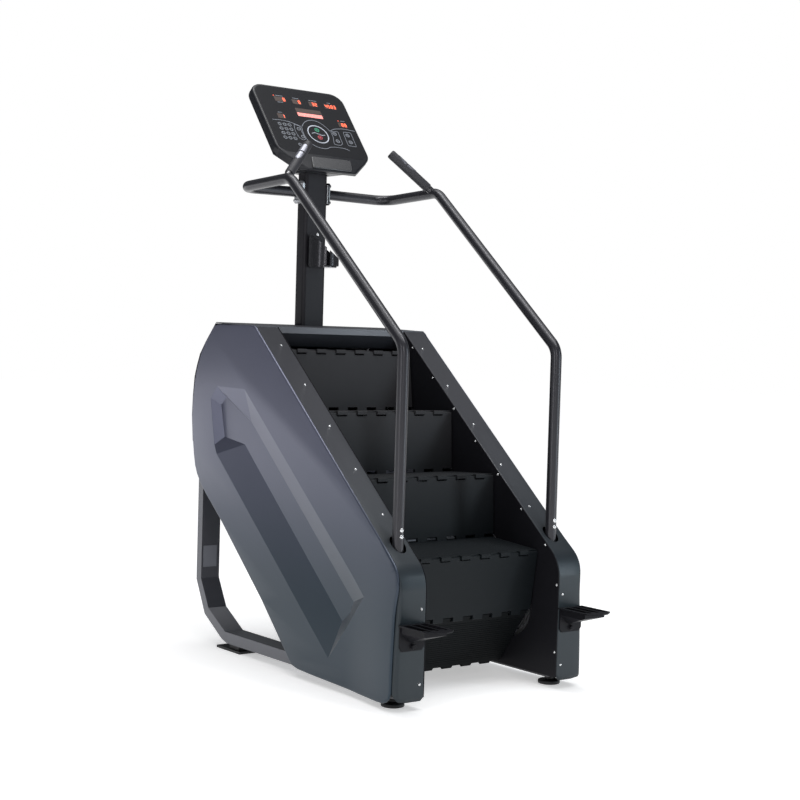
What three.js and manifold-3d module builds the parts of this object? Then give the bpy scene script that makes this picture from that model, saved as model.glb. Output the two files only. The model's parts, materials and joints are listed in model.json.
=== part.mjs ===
// A stair climber (stairmill): nine hinged steps run as an endless belt between two covered
// side frames, with a console on a column and two bent handrails.
// Millimetres. +Z is up, +Y is the way the user faces, X = 0 is the middle of the stairs.
import * as THREE from "three";
import { mergeVertices } from "three/addons/utils/BufferGeometryUtils.js";
import Module from "manifold-3d";

// ---- driving dimensions ----
const GAP = 0.3; // left between pieces that touch

// the step belt
const STEP_RISE = 210;
const STEP_RUN = 244;
const STEP_COUNT = 9;
const STEP_HALF_WIDTH = 276;
const PLATE_HALF = 5; // half the thickness of a tread or riser plate
const HINGE_CELLS = 13; // hinge knuckles across the width of a plate
const KNUCKLE_GAP = 0.5;
const KNUCKLE_STEPS = 4;
const KNUCKLE_RECESS = 10.5; // how far a plate stands back from a neighbour's knuckle
const OPEN_END_RECESS = 14; // the same where the belt is opened
const PIN_HALF = 4; // the pegs that carry a tread on the chains
const PIN_ROOM = 9; // from the line of the pegs to the inner plates' edge
const FIRST_PIVOT = [345, 480]; // back hinge of the lowest flat tread, as [y, z]
const TANGENT_LENGTH = 218; // from FIRST_PIVOT down to where the chain meets its sprocket
const LOWER_RADIUS = 105;
const UPPER_RADIUS = 120;

// chains, shafts and drive
const CHAIN_INNER_X = 291;
const CHAIN_OUTER_X = 301;
const CHAIN_HALF = 8;
const TOOTH_GAP = 1;
const TOOTH_DEPTH = 7;
const SPROCKET_TEETH = 15;
const SPROCKET_INNER_X = 292;
const SPROCKET_OUTER_X = 300;
const SHAFT_RADIUS = 12.5;
const SHAFT_END_X = 349;
const BEARING_GAP = 0.5;
const BRAKE_PLACE = 0.45; // along the line from the lower shaft to the upper one
const BRAKE_RADIUS = 78;
const BRAKE_X = [-62, -30];
const PULLEY_X = [200, 226];
const DRIVE_PULLEY_RADIUS = 78;
const BRAKE_PULLEY_RADIUS = 28;
const BELT_THICKNESS = 4;
const BELT_GAP = 0.6;

// the wings, which are the covered side frames
const WING_OUTER = 383;
const WING_INNER = 284;
const SHEET = 3;
const WING_BASE_Z = 30;
const KNEE_Z = 431; // where the sloped face would meet the upright front face
const KNEE_RADIUS = 120;
const DECK_FRONT = [898, 1195]; // top end of the sloped face, as [y, z]
const INNER_PLATE_BASE_Z = 40;
const INNER_PLATE_BACK = [437, 190]; // its rear corner, below the returning chain, as [y, z]
const CORNER_RADIUS = 16; // the upright front corner of a wing
const SWELL = 23; // how far a wing's side stands out further at its lower front corner
const SWELL_TOP_Z = 520; // where the swelling begins, just above the knee
const BAND_SWELL_SHARE = 0.88; // the band keeps clear inside the panel
const SWELL_LENGTH = 300; // how far back from the front the swelling reaches

// column, console, handrails
const COLUMN_WIDTH = 100;
const COLUMN_DEPTH = 60;
const COLUMN_CORNER = 12;
const COLUMN_WALL = 4;
const COLUMN_Y = 1125;
const COLUMN_TOP = 1848;
const DECK_Z = 1198;
const DECK_RISE = 11; // the deck is this much higher at its back edge
const DECK_BACK_Y = 1172;
const CONSOLE_PLACE = [0, 990, 1779];
const CONSOLE_LEAN = 38.5; // degrees that the face leans back
const CONSOLE_HALF_WIDTH = 211;
const CONSOLE_HEIGHT = 436;
const CONSOLE_CORNER = 56;
const CONSOLE_CHIN = [104, 96]; // half width of the lower edge, and where its slanting ends stop
const CONSOLE_DEPTH = 30;
const CONSOLE_WALL = 3.5;
const RAIL_RADIUS = 19;
const RAIL_X = 328;
const RAIL_FOOT_Y = 98;
const RAIL_HOLE_RADIUS = 27; // in the front band
const RAIL_FOOT_Z = 300; // the rail's lower end, down inside the front post
const RAIL_BEND_RADIUS = 70;
const CLAMP_Z = [1672, 1742];
const CLAMP_PLATE = 6;
const GRIP_FOOT = [329, 801, 1716]; // on the rail, just past its bend
const GRIP_END = [183.5, 884, 1858];
const GRIP_START = 26; // from the rail's middle line to the grip's lower end

// front to back
const REAR_FRAME_Y = 1329;
const REAR_COVER_PROUD = 5; // how far the rear cover stands out past the side panels' edges
const REAR_Y = 1328 + REAR_COVER_PROUD;
const SIDE_STEP_TIP_Y = -164;
const CENTRE_Y = (REAR_Y + SIDE_STEP_TIP_Y) / 2;

// ---- shapes ----
const wasm = await Module();
wasm.setup();

function bare(geometry) {
  const plain = geometry.clone();
  plain.deleteAttribute("normal");
  plain.deleteAttribute("uv");
  return mergeVertices(plain, 1e-4);
}

function toSolid(geometry) {
  const merged = bare(geometry);
  return new wasm.Manifold(
    new wasm.Mesh({
      numProp: 3,
      vertProperties: merged.attributes.position.array,
      triVerts: new Uint32Array(merged.index.array),
    }),
  );
}

function toGeometry(solid) {
  const mesh = solid.getMesh();
  const geometry = new THREE.BufferGeometry();
  geometry.setAttribute("position", new THREE.BufferAttribute(mesh.vertProperties, 3));
  geometry.setIndex(new THREE.BufferAttribute(mesh.triVerts, 1));
  geometry.computeVertexNormals();
  return geometry;
}

function join(...geometries) {
  return toGeometry(geometries.map(toSolid).reduce((all, next) => all.add(next)));
}

function cut(geometry, ...tools) {
  return toGeometry(tools.map(toSolid).reduce((left, tool) => left.subtract(tool), toSolid(geometry)));
}

function common(first, second) {
  return toGeometry(toSolid(first).intersect(toSolid(second)));
}

function extrude(points, depth, holes = []) {
  const vectors = (list) => list.map(([a, b]) => new THREE.Vector2(a, b));
  const shape = new THREE.Shape(vectors(points));
  shape.holes = holes.map((hole) => new THREE.Path(vectors(hole)));
  return new THREE.ExtrudeGeometry(shape, { depth, bevelEnabled: false });
}

const AXIS_X = new THREE.Vector3(1, 0, 0);
const AXIS_Y = new THREE.Vector3(0, 1, 0);
const AXIS_Z = new THREE.Vector3(0, 0, 1);

// An outline of [y, z] points, drawn out from x0 to x1.
function alongX(points, x0, x1, holes) {
  const geometry = extrude(points, x1 - x0, holes);
  geometry.applyMatrix4(new THREE.Matrix4().makeBasis(AXIS_Y, AXIS_Z, AXIS_X));
  return geometry.translate(x0, 0, 0);
}

// An outline of [x, z] points, drawn out from y0 to y1.
function alongY(points, y0, y1, holes) {
  const geometry = extrude(points, y1 - y0, holes);
  geometry.applyMatrix4(new THREE.Matrix4().makeBasis(AXIS_X, AXIS_Z, AXIS_Y.clone().negate()));
  return geometry.translate(0, y1, 0);
}

// An outline of [x, y] points, drawn out from z0 to z1.
function alongZ(points, z0, z1, holes) {
  return extrude(points, z1 - z0, holes).translate(0, 0, z0);
}

function box(x0, x1, y0, y1, z0, z1) {
  const geometry = new THREE.BoxGeometry(x1 - x0, y1 - y0, z1 - z0);
  return geometry.translate((x0 + x1) / 2, (y0 + y1) / 2, (z0 + z1) / 2);
}

function rectangle(a0, a1, b0, b1) {
  return [[a0, b0], [a1, b0], [a1, b1], [a0, b1]];
}

function arc(centre, radius, from, to, steps) {
  const points = [];
  for (let i = 0; i <= steps; i++) {
    const angle = from + ((to - from) * i) / steps;
    points.push([centre[0] + radius * Math.cos(angle), centre[1] + radius * Math.sin(angle)]);
  }
  return points;
}

function circle(centre, radius, steps = 16) {
  return arc(centre, radius, 0, 2 * Math.PI, steps).slice(0, -1);
}

function roundedRectangle(width, depth, radius, centre, steps = 3) {
  const a = width / 2 - radius;
  const b = depth / 2 - radius;
  const corners = [[a, b, 0], [-a, b, 1], [-a, -b, 2], [a, -b, 3]];
  return corners.flatMap(([x, y, turn]) =>
    arc([centre[0] + x, centre[1] + y], radius, (turn * Math.PI) / 2, ((turn + 1) * Math.PI) / 2, steps),
  );
}

// The points moved sideways by a distance, to the right of the way they run.
function offset(points, distance) {
  return points.map((point, i) => {
    const before = points[Math.max(i - 1, 0)];
    const after = points[Math.min(i + 1, points.length - 1)];
    const first = new THREE.Vector2(point[0] - before[0], point[1] - before[1]).normalize();
    const second = new THREE.Vector2(after[0] - point[0], after[1] - point[1]).normalize();
    const along = first.clone().add(second).normalize();
    const lead = first.length() > 0 ? first : second;
    const stretch = 1 / Math.max(along.dot(lead), 0.5);
    return [point[0] + along.y * distance * stretch, point[1] - along.x * distance * stretch];
  });
}

// A sheet of the given thickness that follows the points.
function strip(points, thickness) {
  return [...points, ...offset(points, thickness).reverse()];
}

// A belt's outline round two circles, as [y, z] points.
function aroundCircles(centreA, radiusA, centreB, radiusB, steps) {
  const way = Math.atan2(centreB[1] - centreA[1], centreB[0] - centreA[0]);
  const apart = Math.hypot(centreB[0] - centreA[0], centreB[1] - centreA[1]);
  const open = Math.acos((radiusA - radiusB) / apart);
  return [
    ...arc(centreA, radiusA, way + open, way + 2 * Math.PI - open, steps),
    ...arc(centreB, radiusB, way - open, way + open, steps),
  ];
}

// A path of straight runs with rounded corners, with its points kept where it bends.
class BentPath extends THREE.Curve {
  constructor(corners, radius, bendSteps = 6) {
    super();
    this.points = [corners[0]];
    for (let i = 1; i < corners.length - 1; i++) {
      const back = corners[i - 1].clone().sub(corners[i]).normalize();
      const on = corners[i + 1].clone().sub(corners[i]).normalize();
      const half = back.angleTo(on) / 2;
      const reach = radius / Math.tan(half);
      const bend = new THREE.QuadraticBezierCurve3(
        corners[i].clone().addScaledVector(back, reach),
        corners[i],
        corners[i].clone().addScaledVector(on, reach),
      );
      this.points.push(...bend.getPoints(bendSteps));
    }
    this.points.push(corners[corners.length - 1]);
  }

  get steps() {
    return this.points.length - 1;
  }

  getPointAt(u) {
    return this.points[Math.round(u * this.steps)].clone();
  }

  getTangentAt(u) {
    const i = Math.round(u * this.steps);
    const before = this.points[Math.max(i - 1, 0)];
    const after = this.points[Math.min(i + 1, this.steps)];
    const first = this.points[i].clone().sub(before).normalize();
    const second = after.clone().sub(this.points[i]).normalize();
    return first.add(second).normalize();
  }

  getPoint(u) {
    return this.getPointAt(u);
  }
}

function tube(path, radius, sides = 14) {
  const section = new THREE.Shape(circle([0, 0], radius, sides).map(([a, b]) => new THREE.Vector2(a, b)));
  return new THREE.ExtrudeGeometry(section, { steps: path.steps, extrudePath: path, bevelEnabled: false });
}

function lathe(profile, segments = 24) {
  return new THREE.LatheGeometry(profile.map(([r, h]) => new THREE.Vector2(r, h)), segments);
}

// A cylinder along Z with its ends at z0 and z1.
function rod(radius, x, y, z0, z1, segments = 16) {
  return alongZ(circle([x, y], radius, segments), z0, z1);
}

// ---- the object ----
const climber = new THREE.Group();
climber.position.set(0, -CENTRE_Y, 0);

const FINISH = {
  panel: { color: 0x535a6b, roughness: 0.38, metalness: 0.5 },
  charcoal: { color: 0x3b3d44, roughness: 0.45, metalness: 0.4 },
  black: { color: 0x16171a, roughness: 0.5, metalness: 0.3 },
  frame: { color: 0x2f3138, roughness: 0.4, metalness: 0.5 },
  tread: { color: 0x26272b, roughness: 0.75, metalness: 0.1 },
  plastic: { color: 0x1b1c20, roughness: 0.45, metalness: 0.0 },
  rubber: { color: 0x111214, roughness: 0.9, metalness: 0.0 },
  steel: { color: 0xa9adb3, roughness: 0.3, metalness: 0.9 },
  green: { color: 0x2e8f63, roughness: 0.5, metalness: 0.0 },
  red: { color: 0xa8323c, roughness: 0.5, metalness: 0.0 },
};

function add(name, geometry, finish, parent = climber) {
  const mesh = new THREE.Mesh(geometry, new THREE.MeshStandardMaterial(FINISH[finish]));
  mesh.name = name;
  parent.add(mesh);
  return mesh;
}

// The same piece on the right (+X) and, mirrored, on the left.
function addPair(name, geometry, finish) {
  add(`${name}_right`, geometry, finish);
  add(`${name}_left`, geometry, finish).scale.x = -1;
}

// ---- the step belt's path ----
const SLOPE = Math.atan2(STEP_RISE, STEP_RUN);
const STEP_PITCH = Math.hypot(STEP_RISE, STEP_RUN);
const upSlope = [Math.cos(SLOPE), Math.sin(SLOPE)];
const inward = [Math.sin(SLOPE), -Math.cos(SLOPE)]; // from the front run towards the return run

function walk(from, along, across = 0) {
  return [
    from[0] + along * upSlope[0] + across * inward[0],
    from[1] + along * upSlope[1] + across * inward[1],
  ];
}

// The length of straight chain that makes the whole loop a whole number of steps long.
function straightLength() {
  let straight = STEP_PITCH * 3;
  for (let i = 0; i < 20; i++) {
    const spread = Math.atan((UPPER_RADIUS - LOWER_RADIUS) / straight);
    const wrapped = UPPER_RADIUS * (Math.PI + 2 * spread) + LOWER_RADIUS * (Math.PI - 2 * spread);
    straight = (LOOP - wrapped) / 2;
  }
  return straight;
}

const LOOP = STEP_COUNT * STEP_PITCH;
const STRAIGHT = straightLength();
const UPPER_WRAP = Math.PI + 2 * Math.atan((UPPER_RADIUS - LOWER_RADIUS) / STRAIGHT);
const lowerTangent = walk(FIRST_PIVOT, -TANGENT_LENGTH);
const lowerCentre = walk(lowerTangent, 0, LOWER_RADIUS);
const upperCentre = walk(lowerTangent, STRAIGHT, UPPER_RADIUS);

// A point at a turn round a sprocket, counted from where the front run meets it.
function onSprocket(centre, radius, turn) {
  return walk(centre, radius * Math.sin(turn), -radius * Math.cos(turn));
}

// The point of the chain at a distance along the loop, which starts at the lower tangent point
// and goes up the front.
function chainPoint(distance) {
  let left = ((distance % LOOP) + LOOP) % LOOP;
  if (left <= STRAIGHT) {
    return walk(lowerTangent, left);
  }
  left -= STRAIGHT;
  if (left <= UPPER_RADIUS * UPPER_WRAP) {
    return onSprocket(upperCentre, UPPER_RADIUS, left / UPPER_RADIUS);
  }
  left -= UPPER_RADIUS * UPPER_WRAP;
  if (left <= STRAIGHT) {
    const top = onSprocket(upperCentre, UPPER_RADIUS, UPPER_WRAP);
    const bottom = onSprocket(lowerCentre, LOWER_RADIUS, UPPER_WRAP);
    const part = left / STRAIGHT;
    return [top[0] + (bottom[0] - top[0]) * part, top[1] + (bottom[1] - top[1]) * part];
  }
  return onSprocket(lowerCentre, LOWER_RADIUS, UPPER_WRAP + (left - STRAIGHT) / LOWER_RADIUS);
}

// The pivots of one step: its riser goes from start to nose, its tread from nose to back.
function stepPivots(number) {
  const start = chainPoint(TANGENT_LENGTH + (number - 2) * STEP_PITCH);
  const back = chainPoint(TANGENT_LENGTH + (number - 1) * STEP_PITCH);
  const apart = Math.hypot(back[0] - start[0], back[1] - start[1]);
  const way = [(back[0] - start[0]) / apart, (back[1] - start[1]) / apart];
  const foot = (STEP_RISE ** 2 - STEP_RUN ** 2 + apart ** 2) / (2 * apart);
  const height = Math.sqrt(STEP_RISE ** 2 - foot ** 2);
  const nose = [
    start[0] + foot * way[0] - height * way[1],
    start[1] + foot * way[1] + height * way[0],
  ];
  return { start, nose, back };
}

// ---- treads and risers ----
// One edge of a plate, from left to right: knuckles on every other cell.
function knuckleEdge(pivot, outwards, firstCell) {
  const cell = (2 * STEP_HALF_WIDTH) / HINGE_CELLS;
  const points = [];
  for (let i = 0; i < HINGE_CELLS; i++) {
    const isKnuckle = i % 2 === firstCell;
    const edge = isKnuckle ? pivot + outwards * PLATE_HALF : pivot - outwards * KNUCKLE_RECESS;
    const trim = isKnuckle ? KNUCKLE_GAP : -KNUCKLE_GAP;
    const left = i === 0 ? -STEP_HALF_WIDTH : -STEP_HALF_WIDTH + i * cell + trim;
    const right = i === HINGE_CELLS - 1 ? STEP_HALF_WIDTH : -STEP_HALF_WIDTH + (i + 1) * cell - trim;
    points.push([left, edge], [right, edge]);
  }
  return points;
}

// A plate between two hinges, lying along +Y from the first one, with pegs for the chains.
// Its knuckles are rounded about the hinges.
function hingedPlate(length, hasPegs) {
  const near = knuckleEdge(0, -1, 1);
  const far = knuckleEdge(length, 1, 0).reverse();
  const pegTip = CHAIN_INNER_X - 2 * GAP;
  const peg = (side) => [
    [side * STEP_HALF_WIDTH, length - side * PIN_HALF],
    [side * pegTip, length - side * PIN_HALF],
    [side * pegTip, length + side * PIN_HALF],
    [side * STEP_HALF_WIDTH, length + side * PIN_HALF],
  ];
  const outline = hasPegs ? [...near, ...peg(1), ...far, ...peg(-1)] : [...near, ...far];
  const rounded = [
    ...arc([0, 0], PLATE_HALF, Math.PI / 2, (3 * Math.PI) / 2, KNUCKLE_STEPS),
    ...arc([length, 0], PLATE_HALF, -Math.PI / 2, Math.PI / 2, KNUCKLE_STEPS),
  ];
  const reach = CHAIN_INNER_X;
  return common(alongZ(outline, -PLATE_HALF - 1, PLATE_HALF + 1), alongX(rounded, -reach, reach));
}

const riserPlate = hingedPlate(STEP_RISE, false);
const treadPlate = hingedPlate(STEP_RUN, true);

function placePlate(name, geometry, from, to) {
  const plate = add(name, geometry, "tread");
  plate.position.set(0, from[0], from[1]);
  plate.rotation.x = Math.atan2(to[1] - from[1], to[0] - from[0]);
}

function addHingedSteps() {
  for (const number of [1, 2, 3, 4, 5, 9]) {
    const { start, nose, back } = stepPivots(number);
    placePlate(`riser_${number}`, riserPlate, start, nose);
    placePlate(`tread_${number}`, treadPlate, nose, back);
  }
}

// The steps on the way back, each with its riser and tread in one angle.
function addReturnSteps() {
  for (const number of [6, 7, 8]) {
    const { start, nose, back } = stepPivots(number);
    const trimmed = (from, to, length) => {
      const whole = Math.hypot(to[0] - from[0], to[1] - from[1]);
      return [from[0] + ((to[0] - from[0]) * length) / whole, from[1] + ((to[1] - from[1]) * length) / whole];
    };
    const startTrim = number === 6 ? OPEN_END_RECESS : KNUCKLE_RECESS;
    const endTrim = number === 8 ? OPEN_END_RECESS : KNUCKLE_RECESS;
    const line = [trimmed(start, nose, startTrim), nose, trimmed(back, nose, endTrim)];
    const outline = strip(offset(line, -PLATE_HALF), 2 * PLATE_HALF);
    add(`return_step_${number}`, alongX(outline, -STEP_HALF_WIDTH, STEP_HALF_WIDTH), "tread");
  }
}

// ---- chains, shafts and brake ----
const brakeCentre = [
  lowerCentre[0] + (upperCentre[0] - lowerCentre[0]) * BRAKE_PLACE,
  lowerCentre[1] + (upperCentre[1] - lowerCentre[1]) * BRAKE_PLACE,
];

function toothedWheel(centre, radius, x0, x1) {
  const points = [];
  for (let i = 0; i < 2 * SPROCKET_TEETH; i++) {
    const angle = (i * Math.PI) / SPROCKET_TEETH;
    const reach = i % 2 === 0 ? radius : radius - TOOTH_DEPTH;
    points.push([centre[0] + reach * Math.cos(angle), centre[1] + reach * Math.sin(angle)]);
  }
  return alongX(points, x0, x1);
}

function shaftRod(centre, radius = SHAFT_RADIUS) {
  return alongX(circle(centre, radius), -SHAFT_END_X, SHAFT_END_X);
}

function sprocketShaft(centre, chainRadius) {
  const radius = chainRadius - CHAIN_HALF - TOOTH_GAP;
  return join(
    shaftRod(centre),
    toothedWheel(centre, radius, SPROCKET_INNER_X, SPROCKET_OUTER_X),
    toothedWheel(centre, radius, -SPROCKET_OUTER_X, -SPROCKET_INNER_X),
  );
}

function addDrive() {
  add("lower_shaft", sprocketShaft(lowerCentre, LOWER_RADIUS), "steel");
  const drivePulley = alongX(circle(upperCentre, DRIVE_PULLEY_RADIUS, 24), ...PULLEY_X);
  add("upper_shaft", join(sprocketShaft(upperCentre, UPPER_RADIUS), drivePulley), "steel");
  const brakeDisc = alongX(circle(brakeCentre, BRAKE_RADIUS, 24), ...BRAKE_X);
  const brakePulley = alongX(circle(brakeCentre, BRAKE_PULLEY_RADIUS), ...PULLEY_X);
  add("brake_shaft", join(shaftRod(brakeCentre), brakeDisc, brakePulley), "steel");

  const belt = (extra) =>
    aroundCircles(brakeCentre, BRAKE_PULLEY_RADIUS + extra, upperCentre, DRIVE_PULLEY_RADIUS + extra, 16);
  const beltX = [PULLEY_X[0] + SHEET, PULLEY_X[1] - SHEET];
  add("drive_belt", alongX(belt(BELT_GAP + BELT_THICKNESS), ...beltX, [belt(BELT_GAP)]), "rubber");

  const chain = (extra) =>
    aroundCircles(lowerCentre, LOWER_RADIUS + extra, upperCentre, UPPER_RADIUS + extra, 14);
  addPair("chain", alongX(chain(CHAIN_HALF), CHAIN_INNER_X, CHAIN_OUTER_X, [chain(-CHAIN_HALF)]), "steel");
}

// ---- frame ----
const POST_X = [303, 353];
const POST_Y = [68, 128];
const POST_TOP = 430;
const BASE_RAIL_Z = [28, 68];
const REAR_FRAME_X = [267, 345];
const REAR_FRAME_TOP = 745;
const REAR_RAIL_FRONT_Y = 440;
const CARRIER_X = [312, 347];
const CARRIER_HALF = 32;
const LEVELLER = [336, 91];
const CROSS_PLATE_Z = [1182, 1194.5];
const STUD_HOLE_RADIUS = 6.8;

function addFrame() {
  const rearFrame = [
    [REAR_FRAME_Y, REAR_FRAME_TOP], [REAR_FRAME_Y, 235], [1262, 112], [1138, 40], [1100, BASE_RAIL_Z[0]],
    [REAR_RAIL_FRONT_Y, BASE_RAIL_Z[0]], [REAR_RAIL_FRONT_Y, BASE_RAIL_Z[1]],
    [1112, BASE_RAIL_Z[1]], [1235, 137], [1295, 241], [1295, REAR_FRAME_TOP],
  ];
  addPair("rear_frame", alongX(rearFrame, ...REAR_FRAME_X), "frame");

  const postAndRail = [
    [POST_Y[0], BASE_RAIL_Z[0]], [REAR_RAIL_FRONT_Y - GAP, BASE_RAIL_Z[0]],
    [REAR_RAIL_FRONT_Y - GAP, BASE_RAIL_Z[1]], [POST_Y[1], BASE_RAIL_Z[1]],
    [POST_Y[1], POST_TOP], [POST_Y[0], POST_TOP],
  ];
  const socket = rod(RAIL_RADIUS + 2 * GAP, RAIL_X, RAIL_FOOT_Y, RAIL_FOOT_Z - 5, POST_TOP + 1);
  const studHole = rod(STUD_HOLE_RADIUS, ...LEVELLER, 0, 62, 12);
  addPair("front_post", cut(alongX(postAndRail, ...POST_X), socket, studHole), "frame");

  // The carrier holds the shafts: a beam from shaft to shaft, with arms to the post, deck and rear.
  const beam = strip(
    offset([walk(lowerCentre, -45), walk(upperCentre, 45)], -CARRIER_HALF),
    2 * CARRIER_HALF,
  );
  const frontArm = rectangle(POST_Y[1] + GAP, lowerCentre[0], lowerCentre[1] - 25, lowerCentre[1] + 25);
  const topArm = rectangle(upperCentre[0] - 25, upperCentre[0] + 25, upperCentre[1], CROSS_PLATE_Z[0] - GAP);
  const rearArm = [
    [upperCentre[0] - 20, upperCentre[1]], [upperCentre[0] - 20, upperCentre[1] - 60],
    [1295 - GAP, REAR_FRAME_TOP - 60], [1295 - GAP, REAR_FRAME_TOP], [upperCentre[0] + 30, upperCentre[1]],
  ];
  const arms = [beam, frontArm, topArm, rearArm].map((outline) => alongX(outline, ...CARRIER_X));
  const holes = [lowerCentre, upperCentre, brakeCentre].map((centre) =>
    alongX(circle(centre, SHAFT_RADIUS + BEARING_GAP), CARRIER_X[0] - 1, CARRIER_X[1] + 1),
  );
  addPair("shaft_carrier", cut(join(...arms), ...holes), "frame");

  const innerX = REAR_FRAME_X[0] - GAP;
  add("lower_cross_member", box(-innerX, innerX, 441, 481, 30, 66), "frame");
  add("top_cross_member", box(-CARRIER_X[1], CARRIER_X[1], 1050, 1164, ...CROSS_PLATE_Z), "frame");
}

// ---- covers ----
// The upright face, the knee and the sloped face of a wing, moved in by an inset.
function wingFront(inset) {
  const slope = Math.atan2(DECK_FRONT[1] - KNEE_Z, DECK_FRONT[0]);
  const kneeDrop = KNEE_RADIUS * Math.tan((Math.PI / 2 - slope) / 2);
  const kneeCentre = [KNEE_RADIUS, KNEE_Z - kneeDrop];
  return [
    [inset, WING_BASE_Z],
    ...arc(kneeCentre, KNEE_RADIUS - inset, Math.PI, Math.PI / 2 + slope, 6),
    [DECK_FRONT[0] + inset * Math.sin(slope), DECK_FRONT[1] - inset * Math.cos(slope)],
  ];
}

// How far out a wing's side stands at a place on it, beyond its upper and rear parts.
function swell(y, z) {
  const down = THREE.MathUtils.clamp((SWELL_TOP_Z - z) / (SWELL_TOP_Z - WING_BASE_Z), 0, 1);
  const forward = THREE.MathUtils.clamp(1 - y / SWELL_LENGTH, 0, 1);
  return SWELL * Math.sin(down * Math.PI / 2) * forward;
}

// Stretches a wing's piece outwards by a share of the swelling, from nothing at the inner edge.
function swollen(geometry, share = 1) {
  const places = geometry.attributes.position;
  for (let i = 0; i < places.count; i++) {
    const part = share * (places.getX(i) - WING_INNER) / (WING_OUTER - WING_INNER);
    places.setX(i, places.getX(i) + part * swell(places.getY(i), places.getZ(i)));
  }
  return geometry;
}

// The back edge of a side panel, from the deck down to the underside.
const KNEE_START_Z = wingFront(0)[1][1];
const REAR_OUTLINE = [
  [DECK_BACK_Y, 1201], [1239, 1133], [1279, 1087], [1300, 1043], [1315, 1002], [1324, 934],
  [1328, 858], [1318, 764], [1298, 671], [1262, 618], [1235, 591], [1108, 491], [809, 234],
];

function addCovers() {
  const panelFront = CORNER_RADIUS + GAP;
  const sidePanel = [
    [92, 21], [35, 26], [panelFront, 45], [panelFront, 300], [14, 418], [17, 437], wingFront(0)[7],
    [886, 1184], [905, 1199], ...REAR_OUTLINE, [611, 41], [573, 32],
  ];
  addPair("side_panel", swollen(alongX(sidePanel, WING_OUTER - SHEET, WING_OUTER)), "panel");

  const bandOuter = WING_OUTER - SHEET - GAP;
  const sheet = alongX([...wingFront(0), ...wingFront(SHEET).reverse()], WING_INNER, bandOuter);
  const corner = [bandOuter - CORNER_RADIUS, CORNER_RADIUS];
  const cornerSheet = [
    ...arc(corner, CORNER_RADIUS, -Math.PI / 2, 0, 6),
    ...arc(corner, CORNER_RADIUS - SHEET, 0, -Math.PI / 2, 6),
  ];
  const band = join(
    cut(sheet, box(corner[0], WING_OUTER, -1, SHEET + 1, 0, KNEE_START_Z)),
    alongZ(cornerSheet, WING_BASE_Z, KNEE_START_Z + 1),
  );
  const bored = cut(band, rod(RAIL_HOLE_RADIUS, RAIL_X, RAIL_FOOT_Y, 460, 600));
  addPair("front_band", swollen(bored, BAND_SWELL_SHARE), "charcoal");

  // An inner plate covers what is in front of the chain and below it.
  const plateTop = [1040, DECK_FRONT[1] - 2];
  const belowSprocket = arc(
    lowerCentre, LOWER_RADIUS + PIN_ROOM, SLOPE + Math.PI / 2, SLOPE + 2.5 * Math.PI - UPPER_WRAP, 16);
  const innerPlate = [
    ...wingFront(0.5).slice(1, -1), [DECK_FRONT[0] - 2, DECK_FRONT[1] - 2], plateTop,
    walk(FIRST_PIVOT, (plateTop[0] - FIRST_PIVOT[0]) / upSlope[0], -PIN_ROOM),
    ...belowSprocket, INNER_PLATE_BACK, [INNER_PLATE_BACK[0], INNER_PLATE_BASE_Z], [1, INNER_PLATE_BASE_Z],
  ];
  addPair("inner_plate", alongX(innerPlate, WING_INNER - GAP - 2, WING_INNER - GAP), "black");

  const wellHalf = WING_INNER - 2 - 2 * GAP;
  const deck = [
    [900, DECK_Z - SHEET], [DECK_BACK_Y, DECK_Z + DECK_RISE - SHEET],
    [DECK_BACK_Y, DECK_Z + DECK_RISE], [900, DECK_Z],
  ];
  const lipAndApron = [
    [902, DECK_Z - 1], [898, DECK_Z - 1], [898, 1175], [935, 1128], [937, 1130], [902, 1177],
  ];
  const columnHole = alongZ(
    roundedRectangle(COLUMN_WIDTH + 4, COLUMN_DEPTH + 4, COLUMN_CORNER + 2, [0, COLUMN_Y]), 1190, 1220);
  const cover = join(alongX(deck, -bandOuter, bandOuter), alongX(lipAndApron, -wellHalf, wellHalf));
  add("top_cover", cut(cover, columnHole), "charcoal");

  const rearLine = offset([[DECK_BACK_Y - 1, 1201], ...REAR_OUTLINE.slice(1), [625, 53]], -REAR_COVER_PROUD);
  const aboveFrame = REAR_FRAME_TOP + 15;
  const besideFrame = REAR_FRAME_X[0] - SHEET;
  const rear = cut(
    alongX(strip(rearLine, 2), -bandOuter, bandOuter),
    box(besideFrame, WING_OUTER, 500, 1400, 0, aboveFrame),
    box(-WING_OUTER, -besideFrame, 500, 1400, 0, aboveFrame),
  );
  add("rear_cover", rear, "charcoal");
}

// ---- column, console and keys ----
function addColumn() {
  const centre = [0, COLUMN_Y];
  const outer = roundedRectangle(COLUMN_WIDTH, COLUMN_DEPTH, COLUMN_CORNER, centre);
  const bore = roundedRectangle(
    COLUMN_WIDTH - 2 * COLUMN_WALL, COLUMN_DEPTH - 2 * COLUMN_WALL, COLUMN_CORNER - COLUMN_WALL, centre);
  add("column", alongZ(outer, CROSS_PLATE_Z[1] + GAP, COLUMN_TOP, [bore]), "frame");
}

const FACE_TURN = THREE.MathUtils.degToRad(90 - CONSOLE_LEAN);

// What lies below the console's level underside, in the console's own leaning frame.
function belowConsole() {
  return box(-400, 400, -400, 400, -300, -1).rotateX(-FACE_TURN);
}

function consoleOutline(inset) {
  const half = CONSOLE_HALF_WIDTH - inset;
  const corner = CONSOLE_CORNER - inset;
  const arcX = half - corner;
  const arcY = CONSOLE_HEIGHT - inset - corner;
  const chin = CONSOLE_CHIN[0] - inset / 2;
  return [
    [-chin, inset - 40], [chin, inset - 40], [chin, inset], [half, CONSOLE_CHIN[1]],
    ...arc([arcX, arcY], corner, 0, Math.PI / 2, 6),
    ...arc([-arcX, arcY], corner, Math.PI / 2, Math.PI, 6),
    [-half, CONSOLE_CHIN[1]], [-chin, inset],
  ];
}

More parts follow.
